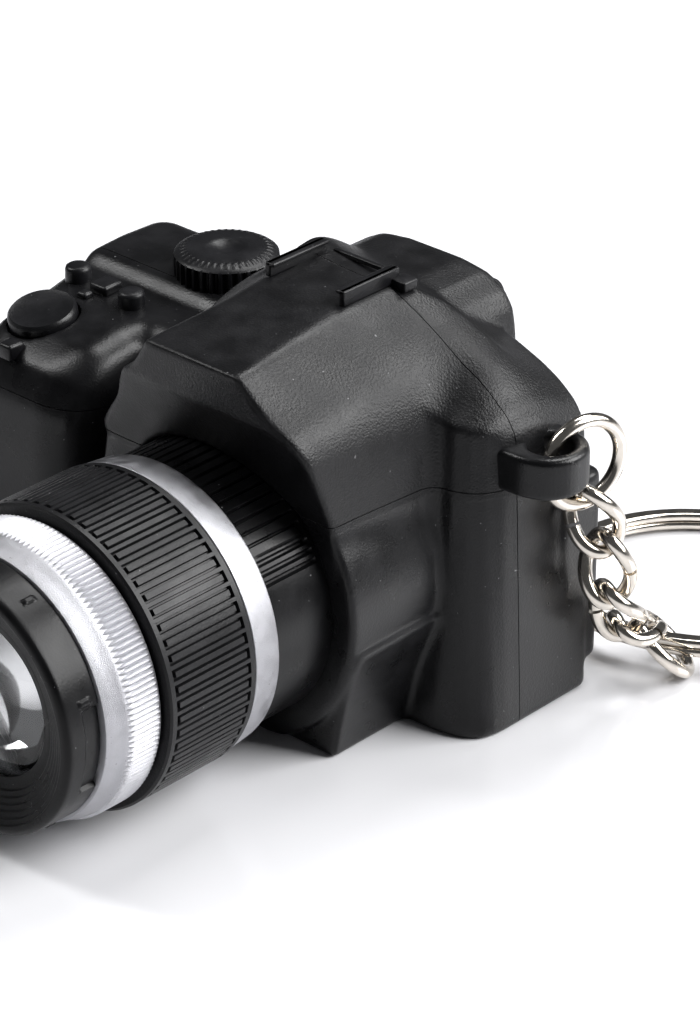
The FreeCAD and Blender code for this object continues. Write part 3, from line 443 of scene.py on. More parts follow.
def mount_field(g):
    x, y, z = g.x[:, :1], g.y, g.z
    round_part = np.hypot(g.x, g.z - AXIS_Z) - 14.9
    side = [(12.0, -4), (12.0, 0), (12.5, 2.6), (13.2, 5.8), (14.2, 8.7), (15.1, 11.1)]
    foot = polygon([(-u, v) for u, v in side] + side[::-1], g.x[:, 0], g.z[0, :1])
    foot = np.maximum(foot[:, None, :], -11.6 - g.y)
    neck = np.maximum(np.abs(g.x) - 12.4, np.abs(g.z - 19.3) - 3.3)
    bulge = high_join(low_join(round_part, neck, 0.4), -12.3 - g.y, 0.5)
    body = low_join(bulge, foot, 0.12)
    return high_join(np.maximum(body, g.y - 4.3), -g.z, 0.6)


def eyepiece_field(g):
    half = [(9.3, 24), (9.25, 29.5), (8.9, 31.8), (7.8, 33.4), (5.9, 34.4), (3.0, 34.8)]
    outline = half + [(-x, z) for x, z in half[::-1]]
    face = softened(polygon(outline, g.x[:, 0], g.z[0, :1])[:, None, :], 2)
    return high_join(face, np.maximum(3.0 - g.y, g.y - 14.5), 0.7)


def casing():
    """The hollow casing in one piece."""
    g = Grid((-32.2, -17.2, -0.8), (20.0, 15.4, 37.6), VOXEL)
    outer = low_join(shoulder_field(g), hump_field(g), 1.6)
    outer = low_join(outer, mount_field(g), 0.6)
    outer = low_join(outer, grip_field(g), 0.5)
    outer = np.maximum(np.maximum(outer, -g.z), g.y - 12.5)
    outer = low_join(outer, eyepiece_field(g), 0.5)
    ridge = plan_box(g.x[:, :, 0], g.y[:, :, 0], 16.7, 19.4, 9.0, 14.2, (0.2, 0.2, 1.2, 0.8))[:, :, None]
    outer = low_join(outer, high_join(ridge, np.maximum(2.2 - g.z, g.z - 20.4), 0.8), 0.3)
    outer = softened(outer.astype(np.float32), 1)
    shell = np.maximum(outer, -(outer + WALL))
    towers = [cylinder_field(g, 2.4, (x, SEAM_Y, z), (x, 12.3, z)) for x, z in SCREW_SPOTS]
    for tower in towers:
        shell = np.minimum(shell, np.maximum(tower, outer + 0.3))
    holes = [cylinder_field(g, 12.62, (0, -25, AXIS_Z), (0, -12.3, AXIS_Z)),
             cylinder_field(g, 1.6, (-18.3, 7.2, 20), (-18.3, 7.2, 40)),
             box_field(g, DOOR[0], DOOR[1], 10.9, 14, DOOR[2], DOOR[3]),
             box_field(g, SCREEN[0], SCREEN[1], 11.9, 14, SCREEN[2], SCREEN[3]),
             box_field(g, -5.5, 5.5, 10.0, 16, 26.0, 32.0)]
    seat = [BUTTON_SEAT @ Vector((0, 0, z)) for z in (-3.3, 6)]
    holes.append(cylinder_field(g, 3.25, *seat))
    holes += [cylinder_field(g, 1.6, (x, 8.6, z), (x, 20, z)) for x, z in SCREW_SPOTS]
    holes += [cylinder_field(g, 0.8, (x, 0, z), (x, 10, z)) for x, z in SCREW_SPOTS]
    holes += [cylinder_field(g, 0.55, (-21.5 + dx, 9, 13 + dz), (-21.5 + dx, 15, 13 + dz))
              for dx, dz in product((-2.4, 0, 2.4), repeat=2)]
    for hole in holes:
        shell = high_join(shell, -hole, 0.2)
    return net("casing", g, shell)


def half_of(whole, name, cuts):
    """The part of a closed mesh on the far side of each cut (point, normal), with its open rims filled."""
    made = whole.copy()
    made.data = whole.data.copy()
    made.name = made.data.name = name
    bpy.context.scene.collection.objects.link(made)

    def work(bm):
        for point, normal in cuts:
            spot, way = Vector(point) * MM, Vector(normal)
            geom = bm.verts[:] + bm.edges[:] + bm.faces[:]
            bmesh.ops.bisect_plane(bm, geom=geom, plane_co=spot, plane_no=way, clear_inner=True, dist=1e-8)
            rim = [e for e in bm.edges if e.is_boundary]
            fill = bmesh.ops.triangle_fill(bm, use_beauty=True, use_dissolve=False, edges=rim, normal=-way)
            flat = [f for f in fill["geom"] if isinstance(f, bmesh.types.BMFace)]
            for face in flat:
                face.smooth = False
        bmesh.ops.recalc_face_normals(bm, faces=bm.faces)
    edit(made, work)
    return made


whole = casing()
forward = ((0, SEAM_Y - SEAM_HALF, 0), (0, -1, 0))
rearward = ((0, SEAM_Y + SEAM_HALF, 0), (0, 1, 0))
below_seam = ((0, 0, SEAM_Z - SEAM_HALF), (0, 0, -1))
above_seam = ((0, 0, SEAM_Z + SEAM_HALF), (0, 0, 1))
shells = {
    "front_shell": half_of(whole, "casing_front", [forward, below_seam]),
    "top_cover": half_of(whole, "casing_top", [forward, above_seam]),
    "rear_shell": half_of(whole, "casing_rear", [rearward]),
}
bpy.data.objects.remove(whole)


def put(made, body, slot, material, *nodes, shade=40):
    """Finishes a piece: shading, material, the body it rides on, and the CAD nodes that it stands for."""
    if shade:
        smooth(made, shade)
    made.data.materials.clear()
    made.data.materials.append(material)
    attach(made, body)
    if nodes:
        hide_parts(*nodes)
    return made


# ---------------------------------------------------------------- materials


def shader(name, **values):
    """A new material with its shader's even values set on the sockets."""
    material = bpy.data.materials.new(name)
    material.use_nodes = True
    bsdf = material.node_tree.nodes["Principled BSDF"]
    for key, value in values.items():
        bsdf.inputs[key.replace("_", " ")].default_value = value
    return material, material.node_tree, bsdf


def add(tree, kind, inputs=None, **settings):
    """A node; inputs maps a socket's name or number to a value or to another node's output."""
    node = tree.nodes.new("ShaderNode" + kind)
    for key, value in settings.items():
        setattr(node, key, value)
    for key, value in (inputs or {}).items():
        if isinstance(value, bpy.types.NodeSocket):
            tree.links.new(value, node.inputs[key])
        else:
            node.inputs[key].default_value = value
    return node


def noise(tree, size, detail=2.0, stretch=(1, 1, 1)):
    """Noise over the object's own coordinates; size is a speck's width in millimetres."""
    place = add(tree, "TexCoord").outputs["Object"]
    spread = add(tree, "Mapping", {"Vector": place, "Scale": stretch})
    return add(tree, "TexNoise", {"Vector": spread.outputs[0], "Scale": 1 / (size * MM), "Detail": detail,
                                  "Roughness": 0.55}).outputs["Fac"]


def ramp(tree, fac, low, high, start=0.35, end=0.65):
    """Maps fac from start..end to low..high, which are numbers or colours."""
    if isinstance(low, (int, float)):
        return add(tree, "MapRange", {"Value": fac, "From Min": start, "From Max": end, "To Min": low,
                                      "To Max": high}).outputs[0]
    node = add(tree, "ValToRGB", {"Fac": fac})
    stops = node.color_ramp.elements
    stops[0].position, stops[0].color = start, (*low, 1)
    stops[1].position, stops[1].color = end, (*high, 1)
    return node.outputs["Color"]


def times(tree, a, b):
    return add(tree, "Math", {0: a, 1: b}, operation="MULTIPLY").outputs[0]


def plus(tree, a, b):
    return add(tree, "Math", {0: a, 1: b}, operation="ADD").outputs[0]


def bump(tree, bsdf, height, depth, strength=1.0):
    """Bumps of that depth in millimetres."""
    node = add(tree, "Bump", {"Height": height, "Distance": depth * MM, "Strength": strength})
    tree.links.new(node.outputs[0], bsdf.inputs["Normal"])


def plastic(name, tone, rough, grain, depth, attribute=None, level=0.33):
    """Black ABS: fine moulded grain, slight mottling and a few specks of dust."""
    material, tree, bsdf = shader(name, IOR=1.45, Specular_IOR_Level=level)
    mottle = noise(tree, 3.0, 3)
    fine = noise(tree, grain, 1.5)
    place = add(tree, "TexCoord").outputs["Object"]
    cells = add(tree, "TexVoronoi", {"Vector": place, "Scale": 1 / (grain * 2.2 * MM), "Smoothness": 0.6},
                feature="SMOOTH_F1").outputs["Distance"]
    dust = ramp(tree, noise(tree, 0.30, 0.0), 0.0, 1.0, 0.86, 0.89)
    shade = ramp(tree, mottle, tuple(0.75 * c for c in tone), tuple(1.3 * c for c in tone))
    mix = add(tree, "Mix", {"Factor": times(tree, dust, 0.5), 6: shade, 7: (0.25, 0.25, 0.26, 1)}, data_type="RGBA")
    tree.links.new(mix.outputs[2], bsdf.inputs["Base Color"])
    gloss = ramp(tree, mottle, rough - 0.04, rough + 0.06)
    height = plus(tree, times(tree, fine, 0.6), times(tree, cells, 0.7))
    if attribute:
        amount = add(tree, "Attribute", attribute_name=attribute).outputs["Fac"]
        height, gloss = times(tree, height, amount), plus(tree, gloss, times(tree, amount, 0.16))
    tree.links.new(gloss, bsdf.inputs["Roughness"])
    bump(tree, bsdf, height, depth)
    return material


def metal(name, tone, rough, speck=None, scratches=0.02, worn=None):
    """Bright metal or metallic paint, with uneven gloss and, where it is paint, worn specks."""
    material, tree, bsdf = shader(name, Metallic=1.0)
    cloud = noise(tree, 1.2, 4)
    shade = ramp(tree, cloud, tuple(0.86 * c for c in tone), tone)
    if worn:
        bare = ramp(tree, noise(tree, worn, 3), 0.0, 0.7, 0.68, 0.74)
        shade = add(tree, "Mix", {"Factor": bare, 6: shade, 7: (0.12, 0.12, 0.12, 1)}, data_type="RGBA").outputs[2]
    tree.links.new(shade, bsdf.inputs["Base Color"])
    tree.links.new(ramp(tree, cloud, rough * 0.8, rough * 1.35), bsdf.inputs["Roughness"])
    bump(tree, bsdf, noise(tree, speck or 0.5, 3), scratches)
    return material


def clear(name, tint, rough=0.02):
    material, tree, bsdf = shader(name, IOR=1.49, Transmission_Weight=1.0, Base_Color=(*tint, 1))
    tree.links.new(ramp(tree, noise(tree, 2.0, 3), rough, rough + 0.03), bsdf.inputs["Roughness"])
    return material


BLACK = (0.0055, 0.0055, 0.0062)
shell_black = plastic("grained_black_abs", BLACK, 0.25, 0.095, 0.045, "grain")
control_black = plastic("satin_black_abs", (0.005, 0.005, 0.006), 0.36, 0.12, 0.012)
lens_black = plastic("lens_black_abs", (0.0045, 0.0045, 0.005), 0.30, 0.12, 0.008, level=0.2)
grip_black = plastic("frosted_black_abs", (0.006, 0.006, 0.007), 0.42, 0.10, 0.02)
silver = metal("silver_paint", (0.46, 0.46, 0.485), 0.38, 0.07, 0.045, 0.3)
nickel = metal("nickel_plate", (0.75, 0.70, 0.63), 0.14, 1.5, 0.01)
steel = metal("zinc_plated_steel", (0.62, 0.62, 0.60), 0.32, 0.4)
chrome = metal("metallised_reflector", (0.93, 0.93, 0.94), 0.22, 2.0, 0.004)
cell_steel = metal("cell_can", (0.72, 0.72, 0.70), 0.25, 0.8)
glass = clear("clear_acrylic", (0.98, 0.99, 1.0))
screen = plastic("dark_screen", (0.02, 0.024, 0.03), 0.12, 0.5, 0.001)
board_green = plastic("lacquered_board", (0.03, 0.14, 0.06), 0.4, 0.5, 0.01)
component = plastic("black_component", (0.02, 0.02, 0.02), 0.6, 0.2, 0.01)
wire_red = plastic("pvc_insulation", (0.45, 0.05, 0.04), 0.45, 0.4, 0.005)

# ---------------------------------------------------------------- casing pieces


def grain_of(made):
    """How strongly each point of the casing shows the moulded grain: least on the hump's top plate and front."""
    points = np.empty(len(made.data.vertices) * 3, np.float32)
    made.data.vertices.foreach_get("co", points)
    points = points.reshape(-1, 3) / MM
    normals = np.empty(len(made.data.vertices) * 3, np.float32)
    made.data.vertices.foreach_get("normal", normals)
    normals = normals.reshape(-1, 3)
    x, y, z = points.T
    plate = np.clip((np.abs(normals[:, 2]) - 0.8) / 0.15, 0, 1) * (z > 34)
    front = np.clip((-normals[:, 1] - 0.8) / 0.1, 0, 1)
    deck = np.clip((normals[:, 2] - 0.9) / 0.08, 0, 1) * (x < -13)
    low = np.clip((22.0 - z) / 0.6, 0, 1)
    grip = np.clip((-14.0 - x) / 1.0, 0, 1)
    value = 1.0 - 0.55 * np.maximum(plate, deck) - 0.5 * front * (1 - plate)
    value = value * (1 - 0.65 * grip)
    value = np.where(low > 0, np.minimum(value, 0.35), value)
    layer = made.data.attributes.new("grain", "FLOAT", "POINT")
    layer.data.foreach_set("value", np.clip(value, 0.12, 1).astype(np.float32))


for node, made in shells.items():
    smooth(made, 50)
    grain_of(made)
    put(made, "camera", "shell_black", shell_black, node, shade=0)

# the key-ring lug: straight in front, rounded at its end and wider at its root
g = Grid((16.0, 0.8, 21.6), (24.6, 10.4, 27.4), 0.11)
tab = [(16.4, 1.5), (20.6, 1.75, 0.8), (22.7, 2.6, 1.2), (23.8, 4.6, 1.6), (23.6, 7.0, 1.8), (21.9, 8.7, 1.4),
       (16.4, 9.1)]
tab = polygon([tuple(p) for p in eased(tab, 0.1, 5)], g.x[:, :, 0], g.y[:, :, 0])[:, :, None]
tab = np.maximum(tab, -(np.hypot(g.x - 20.5, g.y - 5.5) - 1.95))
tab = high_join(tab, np.abs(g.z - 24.5) - 1.9, 0.7)
lug = net("ring_lug", g, tab)
lug.data.attributes.new("grain", "FLOAT", "POINT").data.foreach_set(
    "value", np.full(len(lug.data.vertices), 0.3, np.float32))
put(lug, "camera", "shell_black", shell_black, "key_lug", shade=60)

# ---------------------------------------------------------------- lens


def wave(turn, count, share, ramp_share):
    """Flat-topped ribs round a turn: 1 on a rib, 0 between, with sloped sides."""
    phase = np.abs((turn * count / TURN) % 1 - 0.5)
    return np.clip((phase - (0.5 - share / 2) + ramp_share / 2) / ramp_share, 0, 1)


def between(value, low, high, ease):
    """1 from low to high, falling to 0 within ease."""
    return np.clip((value - low) / ease + 0.5, 0, 1) * np.clip((high - value) / ease + 0.5, 0, 1)


def barrel_relief(turn, height, radius):
    outer = radius > 12.3
    degrees = np.degrees(turn) % 360
    crown = between(degrees, 38, 142, 1.5)
    ribs = -0.25 * (1 - wave(turn, 72, 0.82, 0.1)) * crown
    bold = sum(between(degrees, a - 0.9, a + 0.9, 0.8) for a in (27, 31, 35))
    reach = between(height, 12.9, 18.5, 0.3)
    return np.where(outer, (ribs - 0.35 * bold) * reach, 0)


barrel = [(3.0, 10.3), (12.5, 10.3), (12.5, 19.0), (11.0, 19.0), (11.0, 37.5), (9.7, 37.5), (9.7, 14.3), (3.0, 14.3)]
barrel = eased(barrel, 0.15)
heights = np.concatenate([[12.5, 12.75, 13.05], np.linspace(13.5, 18.1, 10), [18.35, 18.65]])
at = int(np.argmax(barrel[:, 1] > 18.5))
barrel = np.array(list(barrel[:at]) + [(12.5, h) for h in heights] + list(barrel[at:]))
barrel[:, 1] = np.maximum(barrel[:, 1], 12.3)
put(lathe("lens_tube", barrel, LENS, np.linspace(0, TURN, 1080, endpoint=False), relief=barrel_relief),
    "camera", "lens_black", lens_black, "lens_barrel", shade=35)

band = eased([(11.0, 19.0), (13.0, 19.0), (13.3, 22.0), (11.0, 22.0)], 0.18)
put(lathe("silver_band", band, LENS, np.linspace(0, TURN, 256, endpoint=False)),
    "camera", "silver_paint", silver, "bright_band", shade=35)


def zoom_relief(turn, height, radius):
    """Grooves that outline a row of long flat pads."""
    phase = np.abs((turn * 63 / TURN) % 1 - 0.5)
    outer = np.clip((0.36 - phase) / 0.04 + 0.5, 0, 1) * between(height, 22.75, 31.05, 0.1)
    inner = np.clip((0.20 - phase) / 0.04 + 0.5, 0, 1) * between(height, 23.0, 30.8, 0.1)
    return np.where(radius > 13.2, 0.4 * (inner - outer), 0)


zoom_angles = np.sort(np.concatenate([(np.arange(63) + share) * TURN / 63 for share in
                                      (0.0, 0.12, 0.16, 0.28, 0.32, 0.5, 0.68, 0.72, 0.84, 0.88)]))
zoom = [(11.08, 22.1), (13.25, 22.1), (13.4, 22.2)]
zoom += [(13.4, h) for h in (22.45, 22.7, 22.8, 22.95, 23.05, 25.0, 27.0, 29.0, 30.75, 30.85, 31.0, 31.1, 31.35)]
zoom += [(13.4, 31.55), (13.2, 31.7), (11.08, 31.7)]
put(lathe("zoom_grip", np.array(zoom), LENS, zoom_angles, relief=zoom_relief),
    "zoom_ring", "lens_black", grip_black, "zoom_ring", shade=32)


def knurl_relief(turn, height, radius):
    phase = np.abs((turn * 160 / TURN) % 1 - 0.5) * 2
    tooth = np.clip(1.25 * phase, 0, 1)
    start = np.clip((height - 32.05) / 0.25, 0, 1)
    end = np.clip((35.45 - height - 0.5 * (1 - phase)) / 0.35, 0, 1)
    return np.where(radius > 12.3, 0.27 * tooth * start * end, 0)


knurl_angles = np.linspace(0, TURN, 160 * 6, endpoint=False)
focus = [(11.08, 31.9), (12.35, 31.9), (12.42, 31.98)]
focus += [(12.42, h) for h in np.linspace(32.05, 35.5, 16)]
focus += [(12.40, 35.65), (12.30, 35.85), (12.1, 36.6), (11.95, 37.2), (11.86, 37.4), (11.7, 37.45), (11.08, 37.45)]
put(lathe("focus_grip", np.array(focus), LENS, knurl_angles, relief=knurl_relief),
    "focus_ring", "silver_paint", silver, "focus_ring", shade=35)


def bezel_relief(turn, height, radius):
    """Three long bayonet recesses, open to the rear, and small tabs between them."""
    degrees = (np.degrees(turn) + 24) % 120
    recess = between(degrees, 0, 38.5, 0.8) * between(height, 36.0, 39.2, 0.15)
    tabs = between(degrees, 40.4, 43, 0.8) + between(degrees, 86.5, 89, 0.8)
    return np.where(radius > 11.25, 0.18 * tabs * between(height, 38.3, 39.4, 0.2) - 0.35 * recess, 0)


bezel = [(9.7, 36.0), (9.7, 37.5), (11.6, 37.5, 0.05)]
bezel += [(11.6 - 0.05 * (h - 37.5) / 3, h, 0) for h in np.linspace(37.7, 40.6, 20)]
bezel += [(11.5, 40.95, 0.3), (11.1, 41.2, 0.25), (10.55, 41.2, 0.1)]
for i in range(6):
    bezel += [(10.55 - 0.5 * i, 40.95 - 0.27 * i, 0.06), (10.12 - 0.5 * i, 40.93 - 0.27 * i, 0.06)]
bezel += [(7.0, 39.5), (7.0, 39.0), (7.4, 39.0), (7.4, 38.2), (7.8, 36.0)]
put(lathe("bezel", eased(bezel, 0.1), LENS, np.linspace(0, TURN, 720, endpoint=False), relief=bezel_relief),
    "camera", "lens_black", lens_black, "front_bezel", shade=35)

BULGE = 2.1
face = 7.4 - 0.45
sphere = (face * face + BULGE * BULGE) / (2 * BULGE)
dome = [(0, 38.2), (7.2, 38.2), (7.4, 38.3), (7.4, 38.95), (face, 39.0)]
for i in range(1, 25):
    r = face * (1 - i / 24)
    dome.append((r, 39.0 + BULGE - sphere + math.sqrt(sphere * sphere - r * r)))
put(lathe("front_glass", np.array(dome), LENS, np.linspace(0, TURN, 128, endpoint=False), closed=False),
    "camera", "clear_lens", glass, "front_lens", shade=40)

bowl = [(2.6, 30.0)] + [(2.6 + 7.0 * t, 30.0 + 5.4 * t ** 1.6) for t in np.linspace(0.08, 1, 14)]
bowl += [(9.6, 34.6)] + [(2.6 + 6.9 * t, 29.0 + 5.3 * t ** 1.6) for t in np.linspace(0.92, 0, 12)]
put(lathe("lamp_bowl", np.array(bowl), LENS, np.linspace(0, TURN, 128, endpoint=False)),
    "camera", "reflector", chrome, "reflector", shade=35)

# ---------------------------------------------------------------- controls on top

cap = [(0, -2.1), (3.0, -2.1), (3.08, -2.0), (3.12, 0.45), (3.05, 0.72), (2.85, 0.92), (2.66, 0.86)]
cap += [(r, 0.60 + 0.036 * r * r) for r in np.linspace(2.45, 0.0, 10)]
put(lathe("release_button", np.array(cap), BUTTON_SEAT, closed=False),
    "shutter_button", "control_black", control_black, "shutter_button", shade=40)


def dial_relief(turn, height, radius):
    return np.where((radius > 4.4) & (height < 2.15), -0.38 * (1 - wave(turn, 34, 0.55, 0.3)), 0)


def dial_drop(turn, height, radius):
    ticks = wave(turn, 40, 0.45, 0.2) * between(radius, 3.6, 4.15, 0.12)
    return np.where(height > 2.2, 0.07 * ticks, 0)


dial = [(0, 0.0), (4.6, 0.0), (4.66, 0.08), (4.68, 0.6), (4.68, 1.2), (4.68, 1.8), (4.68, 2.05), (4.64, 2.2),
        (4.5, 2.32), (4.38, 2.38), (4.32, 2.41), (4.2, 2.46), (4.0, 2.53), (3.8, 2.6), (3.65, 2.65), (3.55, 2.69),
        (3.4, 2.72), (2.6, 2.72), (2.0, 2.72), (1.62, 2.7)]
dial += [(r, 2.3 + 0.15 * r * r) for r in np.linspace(1.5, 0, 9)]
put(lathe("top_dial", np.array(dial), DIAL_SEAT, np.linspace(0, TURN, 720, endpoint=False), closed=False,
          relief=dial_relief, drop=dial_drop), "mode_dial", "control_black", control_black, "mode_dial", shade=35)

DECK = 27.7
pads = []
for i, (x, y) in enumerate(((-28.75, -0.85), (-21.5, -1.4))):
    pad = [(0, -0.1), (1.2, -0.1), (1.2, 0.2), (1.18, 1.1), (1.1, 1.35), (0.9, 1.48), (0.5, 1.5), (0.0, 1.5)]
    pads.append(lathe(f"pad_{i}", np.array(pad), Matrix.Translation((x, y, DECK)),
                      np.linspace(0, TURN, 48, endpoint=False), closed=False))
put(joined("deck_buttons", *pads), "camera", "control_black", control_black, "top_buttons", shade=40)
lever = [(-26.4, -24.3, -1.9, 0.4, DECK - 0.1, DECK + 0.9), (-26.5, -25.3, -3.4, -2.2, DECK - 0.2, DECK + 0.5),
         (-26.6, -25.0, -12.7, -10.9, 25.0, 26.5)]
put(boxes("lever", lever, 0.3),
    "camera", "control_black", control_black, "power_lever", shade=0)

SHOE = 36.25
shoe = [(4.3, 6.0, 3.6, 5.2, SHOE - 0.3, SHOE + 0.55), (-3.4, 3.4, 4.9, 5.4, SHOE, SHOE + 0.45)]
for side in (-1, 1):
    shoe.append((side * 4.2 - 0.3, side * 4.2 + 0.3, -2.2, 4.6, SHOE, SHOE + 1.3))
    shoe.append((min(side * 3.5, side * 4.45), max(side * 3.5, side * 4.45), -2.2, 4.6, SHOE + 0.95, SHOE + 1.3))
put(boxes("shoe", shoe, 0.12), "camera", "control_black", control_black, "accessory_shoe", shade=0)

# ---------------------------------------------------------------- ring and chain

LINK_WIRE, LINK_HALF, LINK_WIDE, LINK_SEAT, LINK_TWIST = 0.62, 3.2, 1.94, 1.471, -84.6
END_HALF, END_WIDE = 3.1, 3.02
RING_WAY = Vector((0.228, 0.974, 0))
JUMP_MIDDLE = Vector((20.5, 5.5, 23.6)) + RING_WAY * 3.43
# how each link lies: degrees from straight down, and towards which heading from +X
CHAIN = [(24.2, 40.0), (7.0, 22.8), (28.3, 94.2), (59.3, 100.8)]
END_LEAN, END_HEADING, END_ROLL = 47.4, 69.2, -9.6


def leaning(lean, heading):
    """The direction that leaves straight down by lean degrees, towards heading degrees from +X."""
    tilt, turn = math.radians(lean), math.radians(heading)
    return Vector((math.sin(tilt) * math.cos(turn), math.sin(tilt) * math.sin(turn), -math.cos(tilt)))


def framed(x_way, z_way, at):
    """The matrix whose own +Z is z_way and whose own +X is as near x_way as it can be."""
    z = z_way.normalized()
    x = (x_way - z * x_way.dot(z)).normalized()
    y = z.cross(x)
    return Matrix(((x.x, y.x, z.x, at.x), (x.y, y.y, z.y, at.y), (x.z, y.z, z.z, at.z), (0, 0, 0, 1)))


def link_piece(name, half, wide, twist, place):
    """A link of bent wire, wrung by twist, whose two cut ends meet in the middle of one side."""
    path = []
    count = 72
    for i in range(count + 1):
        turn = TURN * (i / count) * 0.985 + 0.0075 * TURN
        x = wide * math.cos(turn) * (1 + 0.10 * math.sin(turn) ** 2)
        z = half * math.sin(turn)
        wring = math.radians(twist) * z / (2 * half)
        path.append(place @ Vector((x * math.cos(wring), x * math.sin(wring), z)))
    return swept(name, [tuple(p) for p in path], LINK_WIRE, closed=False, sides=20)


hoop = []
for i in range(97):
    turn = TURN * (i / 96) * 0.992 + math.radians(200)
    hoop.append(tuple(JUMP_MIDDLE + RING_WAY * 3.8 * math.cos(turn) + Vector((0, 0, 3.8 * math.sin(turn)))))
put(swept("jump_hoop", hoop, 0.62, closed=False, sides=24), "jump_ring", "nickel", nickel, "jump_ring", shade=45)

pivot, before, across = JUMP_MIDDLE - Vector((0, 0, 3.8)), Vector((0, 0, -1)), RING_WAY
half_wring = math.radians(LINK_TWIST / 2)
for number, (lean, heading) in enumerate(CHAIN, 1):
    down = leaning(lean, heading)
    seat = pivot - (before + down).normalized() * LINK_SEAT
    side = across.cross(down).normalized()
    wide_way = side * math.cos(half_wring) + down.cross(side) * math.sin(half_wring)
    place = framed(wide_way, -down, seat + down * LINK_HALF)
    put(link_piece(f"curb_link_{number}", LINK_HALF, LINK_WIDE, LINK_TWIST, place),
        f"chain_link_{number}", "nickel", nickel, f"chain_link_{number}", shade=45)
    across = place.to_3x3() @ Vector((math.cos(half_wring), -math.sin(half_wring), 0))
    pivot, before = seat + down * 2 * LINK_HALF, down

down = leaning(END_LEAN, END_HEADING)
end_middle = pivot - (before + down).normalized() * LINK_SEAT + down * END_HALF
end_side = Matrix.Rotation(math.radians(END_ROLL), 3, down) @ across.cross(down).normalized()
put(link_piece("last_link", END_HALF, END_WIDE, 0.0, framed(end_side, -down, end_middle)),
    "end_link", "nickel", nickel, "end_link", shade=45)

SPLIT_RAD, SPLIT_WIDE, SPLIT_THICK = 13.1, 1.5, 0.8
ring_up = Vector((-0.019, 0.063, 1)).normalized()
ring_height = ((SPLIT_RAD + SPLIT_WIDE / 2) * math.hypot(ring_up.x, ring_up.y)
               + (SPLIT_THICK + 0.03) * ring_up.z + 0.04)
ring_at = Vector((17.67, 30.96, ring_height))
offset = end_middle - ring_at
near_way = (offset - ring_up * offset.dot(ring_up)).normalized()
split_place = framed(-near_way, ring_up, ring_at)


def split_coil():
    """Two turns of flattened wire in one coil, with a step where it passes from the lower turn to the upper."""
    section = eased([(SPLIT_WIDE / 2, -SPLIT_THICK / 2), (SPLIT_WIDE / 2, SPLIT_THICK / 2),
                     (-SPLIT_WIDE / 2, SPLIT_THICK / 2), (-SPLIT_WIDE / 2, -SPLIT_THICK / 2)], 0.36, 4)
    turns = np.linspace(math.radians(4), 2 * TURN - math.radians(4), 480)
    climb = np.clip((turns - TURN + math.radians(9)) / math.radians(18), 0, 1)
    lift = (SPLIT_THICK / 2 + 0.02) * (2 * climb * climb * (3 - 2 * climb) - 1)
    rings = []
    for i, (turn, up) in enumerate(zip(turns, lift)):
        pinch = 0.5 if i in (0, len(turns) - 1) else 1.0
        rings.append([((SPLIT_RAD + u * pinch) * math.cos(turn), (SPLIT_RAD + u * pinch) * math.sin(turn),
                       up + v * pinch) for u, v in section])
    size, count = len(section), len(turns)
    points = [tuple(split_place @ Vector(p)) for ring in rings for p in ring]
    faces = [[i * size + j, i * size + (j + 1) % size, (i + 1) * size + (j + 1) % size, (i + 1) * size + j]
             for i in range(count - 1) for j in range(size)]
    faces += [list(range(size)), list(range((count - 1) * size, count * size))]
    return clean(mesh_object("split_coil", points, faces))


put(split_coil(), "split_ring", "nickel", nickel, "split_ring", shade=45)

# ---------------------------------------------------------------- rear

panel = [(SCREEN[0] + 0.15, SCREEN[1] - 0.15, 11.9, 12.45, SCREEN[2] + 0.15, SCREEN[3] - 0.15)]
put(boxes("screen_panel", panel, 0.15), "camera", "screen", screen, "rear_screen", shade=0)
put(boxes("door", [(DOOR[0] + 0.12, DOOR[1] - 0.12, 11.0, 12.5, DOOR[2] + 0.12, DOOR[3] - 0.12)], 0.25),
    "camera", "control_black", control_black, "battery_door", shade=0)
keys = []
for i, x in enumerate((-12.4, -8.6, -4.8, -1.0, -21.5)):
    r, z, top = (0.9, 18.6, 13.1) if i < 4 else (1.9, 20.6, 13.2)
    key = np.array([(0, 12.3), (r, 12.3), (r, 12.6), (r - 0.03, top - 0.2), (r - 0.12, top - 0.05), (r - 0.3, top),
                    (0, top)])
    flip = Matrix.Translation((x, 0, z)) @ Matrix.Rotation(math.radians(-90), 4, "X")
    keys.append(lathe(f"key_{i}", key, flip, np.linspace(0, TURN, 48, endpoint=False), closed=False))
put(joined("rear_keys", *keys), "camera", "control_black", control_black, "rear_buttons", shade=40)

g = Grid((-7.4, 13.9, 24.1), (7.4, 16.5, 33.9), 0.14)
cup = plan_box(g.x[:, 0], g.z[0, :1], -6.6, 6.6, 24.9, 33.1, (1.2, 1.2, 1.2, 1.2))
hole = plan_box(g.x[:, 0], g.z[0, :1], -5.5, 5.5, 26.0, 32.0, (0.6, 0.6, 0.6, 0.6))
cup = high_join(np.maximum(cup, -hole)[:, None, :], np.abs(g.y - 15.2) - 0.7, 0.5)
put(net("eye_cup", g, cup), "camera", "control_black", control_black, "eyecup", shade=60)

# ---------------------------------------------------------------- CAD pieces that keep their own shape

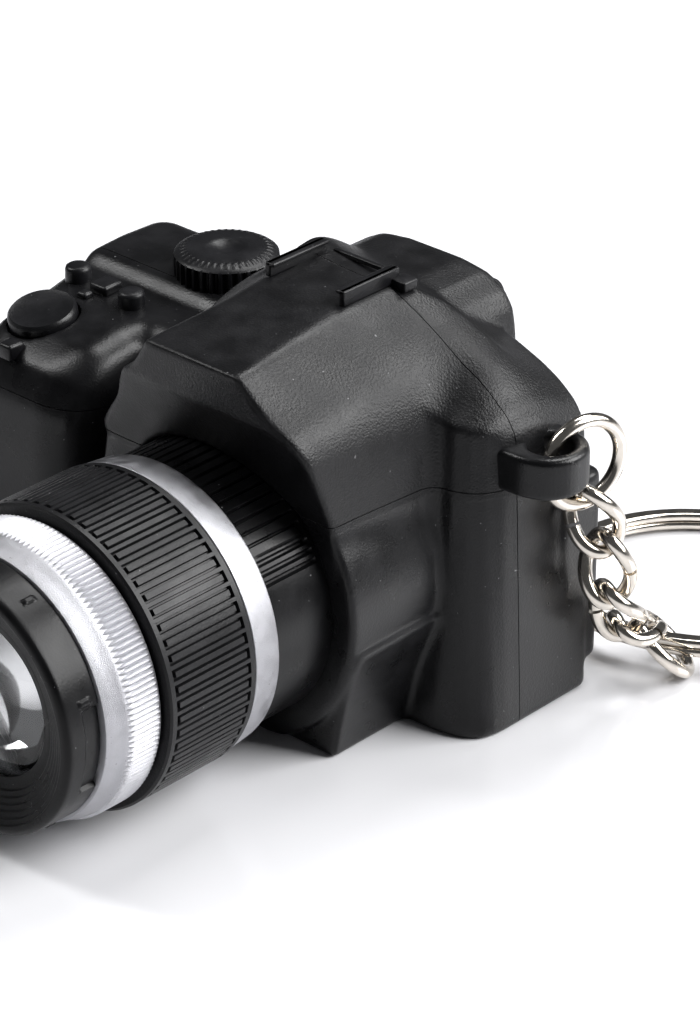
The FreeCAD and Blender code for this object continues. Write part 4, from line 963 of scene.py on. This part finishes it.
KEPT = {
    "camera": [
        (glass, ["eyepiece_window", "lamp"]),
        (steel, ["barrel_screws", "case_screws", "door_screw", "board_screws", "shutter_spring", "cell_contacts"]),
        (cell_steel, ["button_cell_1", "button_cell_2", "button_cell_3"]),
        (board_green, ["circuit_board", "switch_board", "lamp_holder"]),
        (component, ["sound_chip", "chip_resistors", "shutter_switch", "battery_holder", "speaker", "dial_clip"]),
        (wire_red, ["lamp_wires", "battery_wires", "speaker_wires", "switch_wires"]),
    ],
}
for material, nodes in KEPT["camera"]:
    for node in nodes:
        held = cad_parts[node]
        held.data.materials.clear()
        held.data.materials.append(material)

# ---------------------------------------------------------------- floor, light and camera

floor_material, tree, bsdf = shader("glossy_white_table", Base_Color=(0.72, 0.72, 0.74, 1), IOR=1.45)
tree.links.new(ramp(tree, noise(tree, 60, 2), 0.10, 0.14), bsdf.inputs["Roughness"])
floor = mesh_object("table", [(-3000, -3000, 0), (3000, -3000, 0), (3000, 3000, 0), (-3000, 3000, 0)], [[0, 1, 2, 3]])
floor.data.materials.append(floor_material)

world = bpy.data.worlds.new("studio")
bpy.context.scene.world = world
world.use_nodes = True
world.node_tree.nodes["Background"].inputs[0].default_value = (0.95, 0.97, 1.0, 1)
world.node_tree.nodes["Background"].inputs[1].default_value = 0.08


def softbox(name, at, aim, width, height, power):
    """A rectangular soft light; places are in metres."""
    data = bpy.data.lights.new(name, "AREA")
    data.shape, data.size, data.size_y, data.energy = "RECTANGLE", width, height, power
    made = bpy.data.objects.new(name, data)
    made.location = at
    made.rotation_euler = (Vector(aim) - Vector(at)).to_track_quat("-Z", "Y").to_euler()
    bpy.context.scene.collection.objects.link(made)
    return made


softbox("back_right", (0.44, 0.35, 0.41), (0, 0, 0.01), 0.50, 0.50, 9.8)
softbox("top_back", (-0.06, 0.33, 0.58), (0, 0, 0.02), 0.28, 0.28, 2.4)
softbox("left_strip", (-0.50, -0.24, 0.62), (0, 0, 0.02), 0.12, 0.50, 3.3)

camera = bpy.data.objects.new("camera_view", bpy.data.cameras.new("camera_view"))
bpy.context.scene.collection.objects.link(camera)
camera.data.lens, camera.data.sensor_width = 140.6, 36.0
camera.data.clip_start, camera.data.clip_end = 0.01, 20
camera.matrix_world = Matrix(((0.73361, -0.32322, 0.59778, 0.20659), (0.67957, 0.34892, -0.64532, -0.21965),
                              (0.0, 0.87965, 0.47562, 0.17763), (0, 0, 0, 1)))
bpy.context.scene.camera = camera
bpy.context.scene.view_settings.view_transform = "Standard"
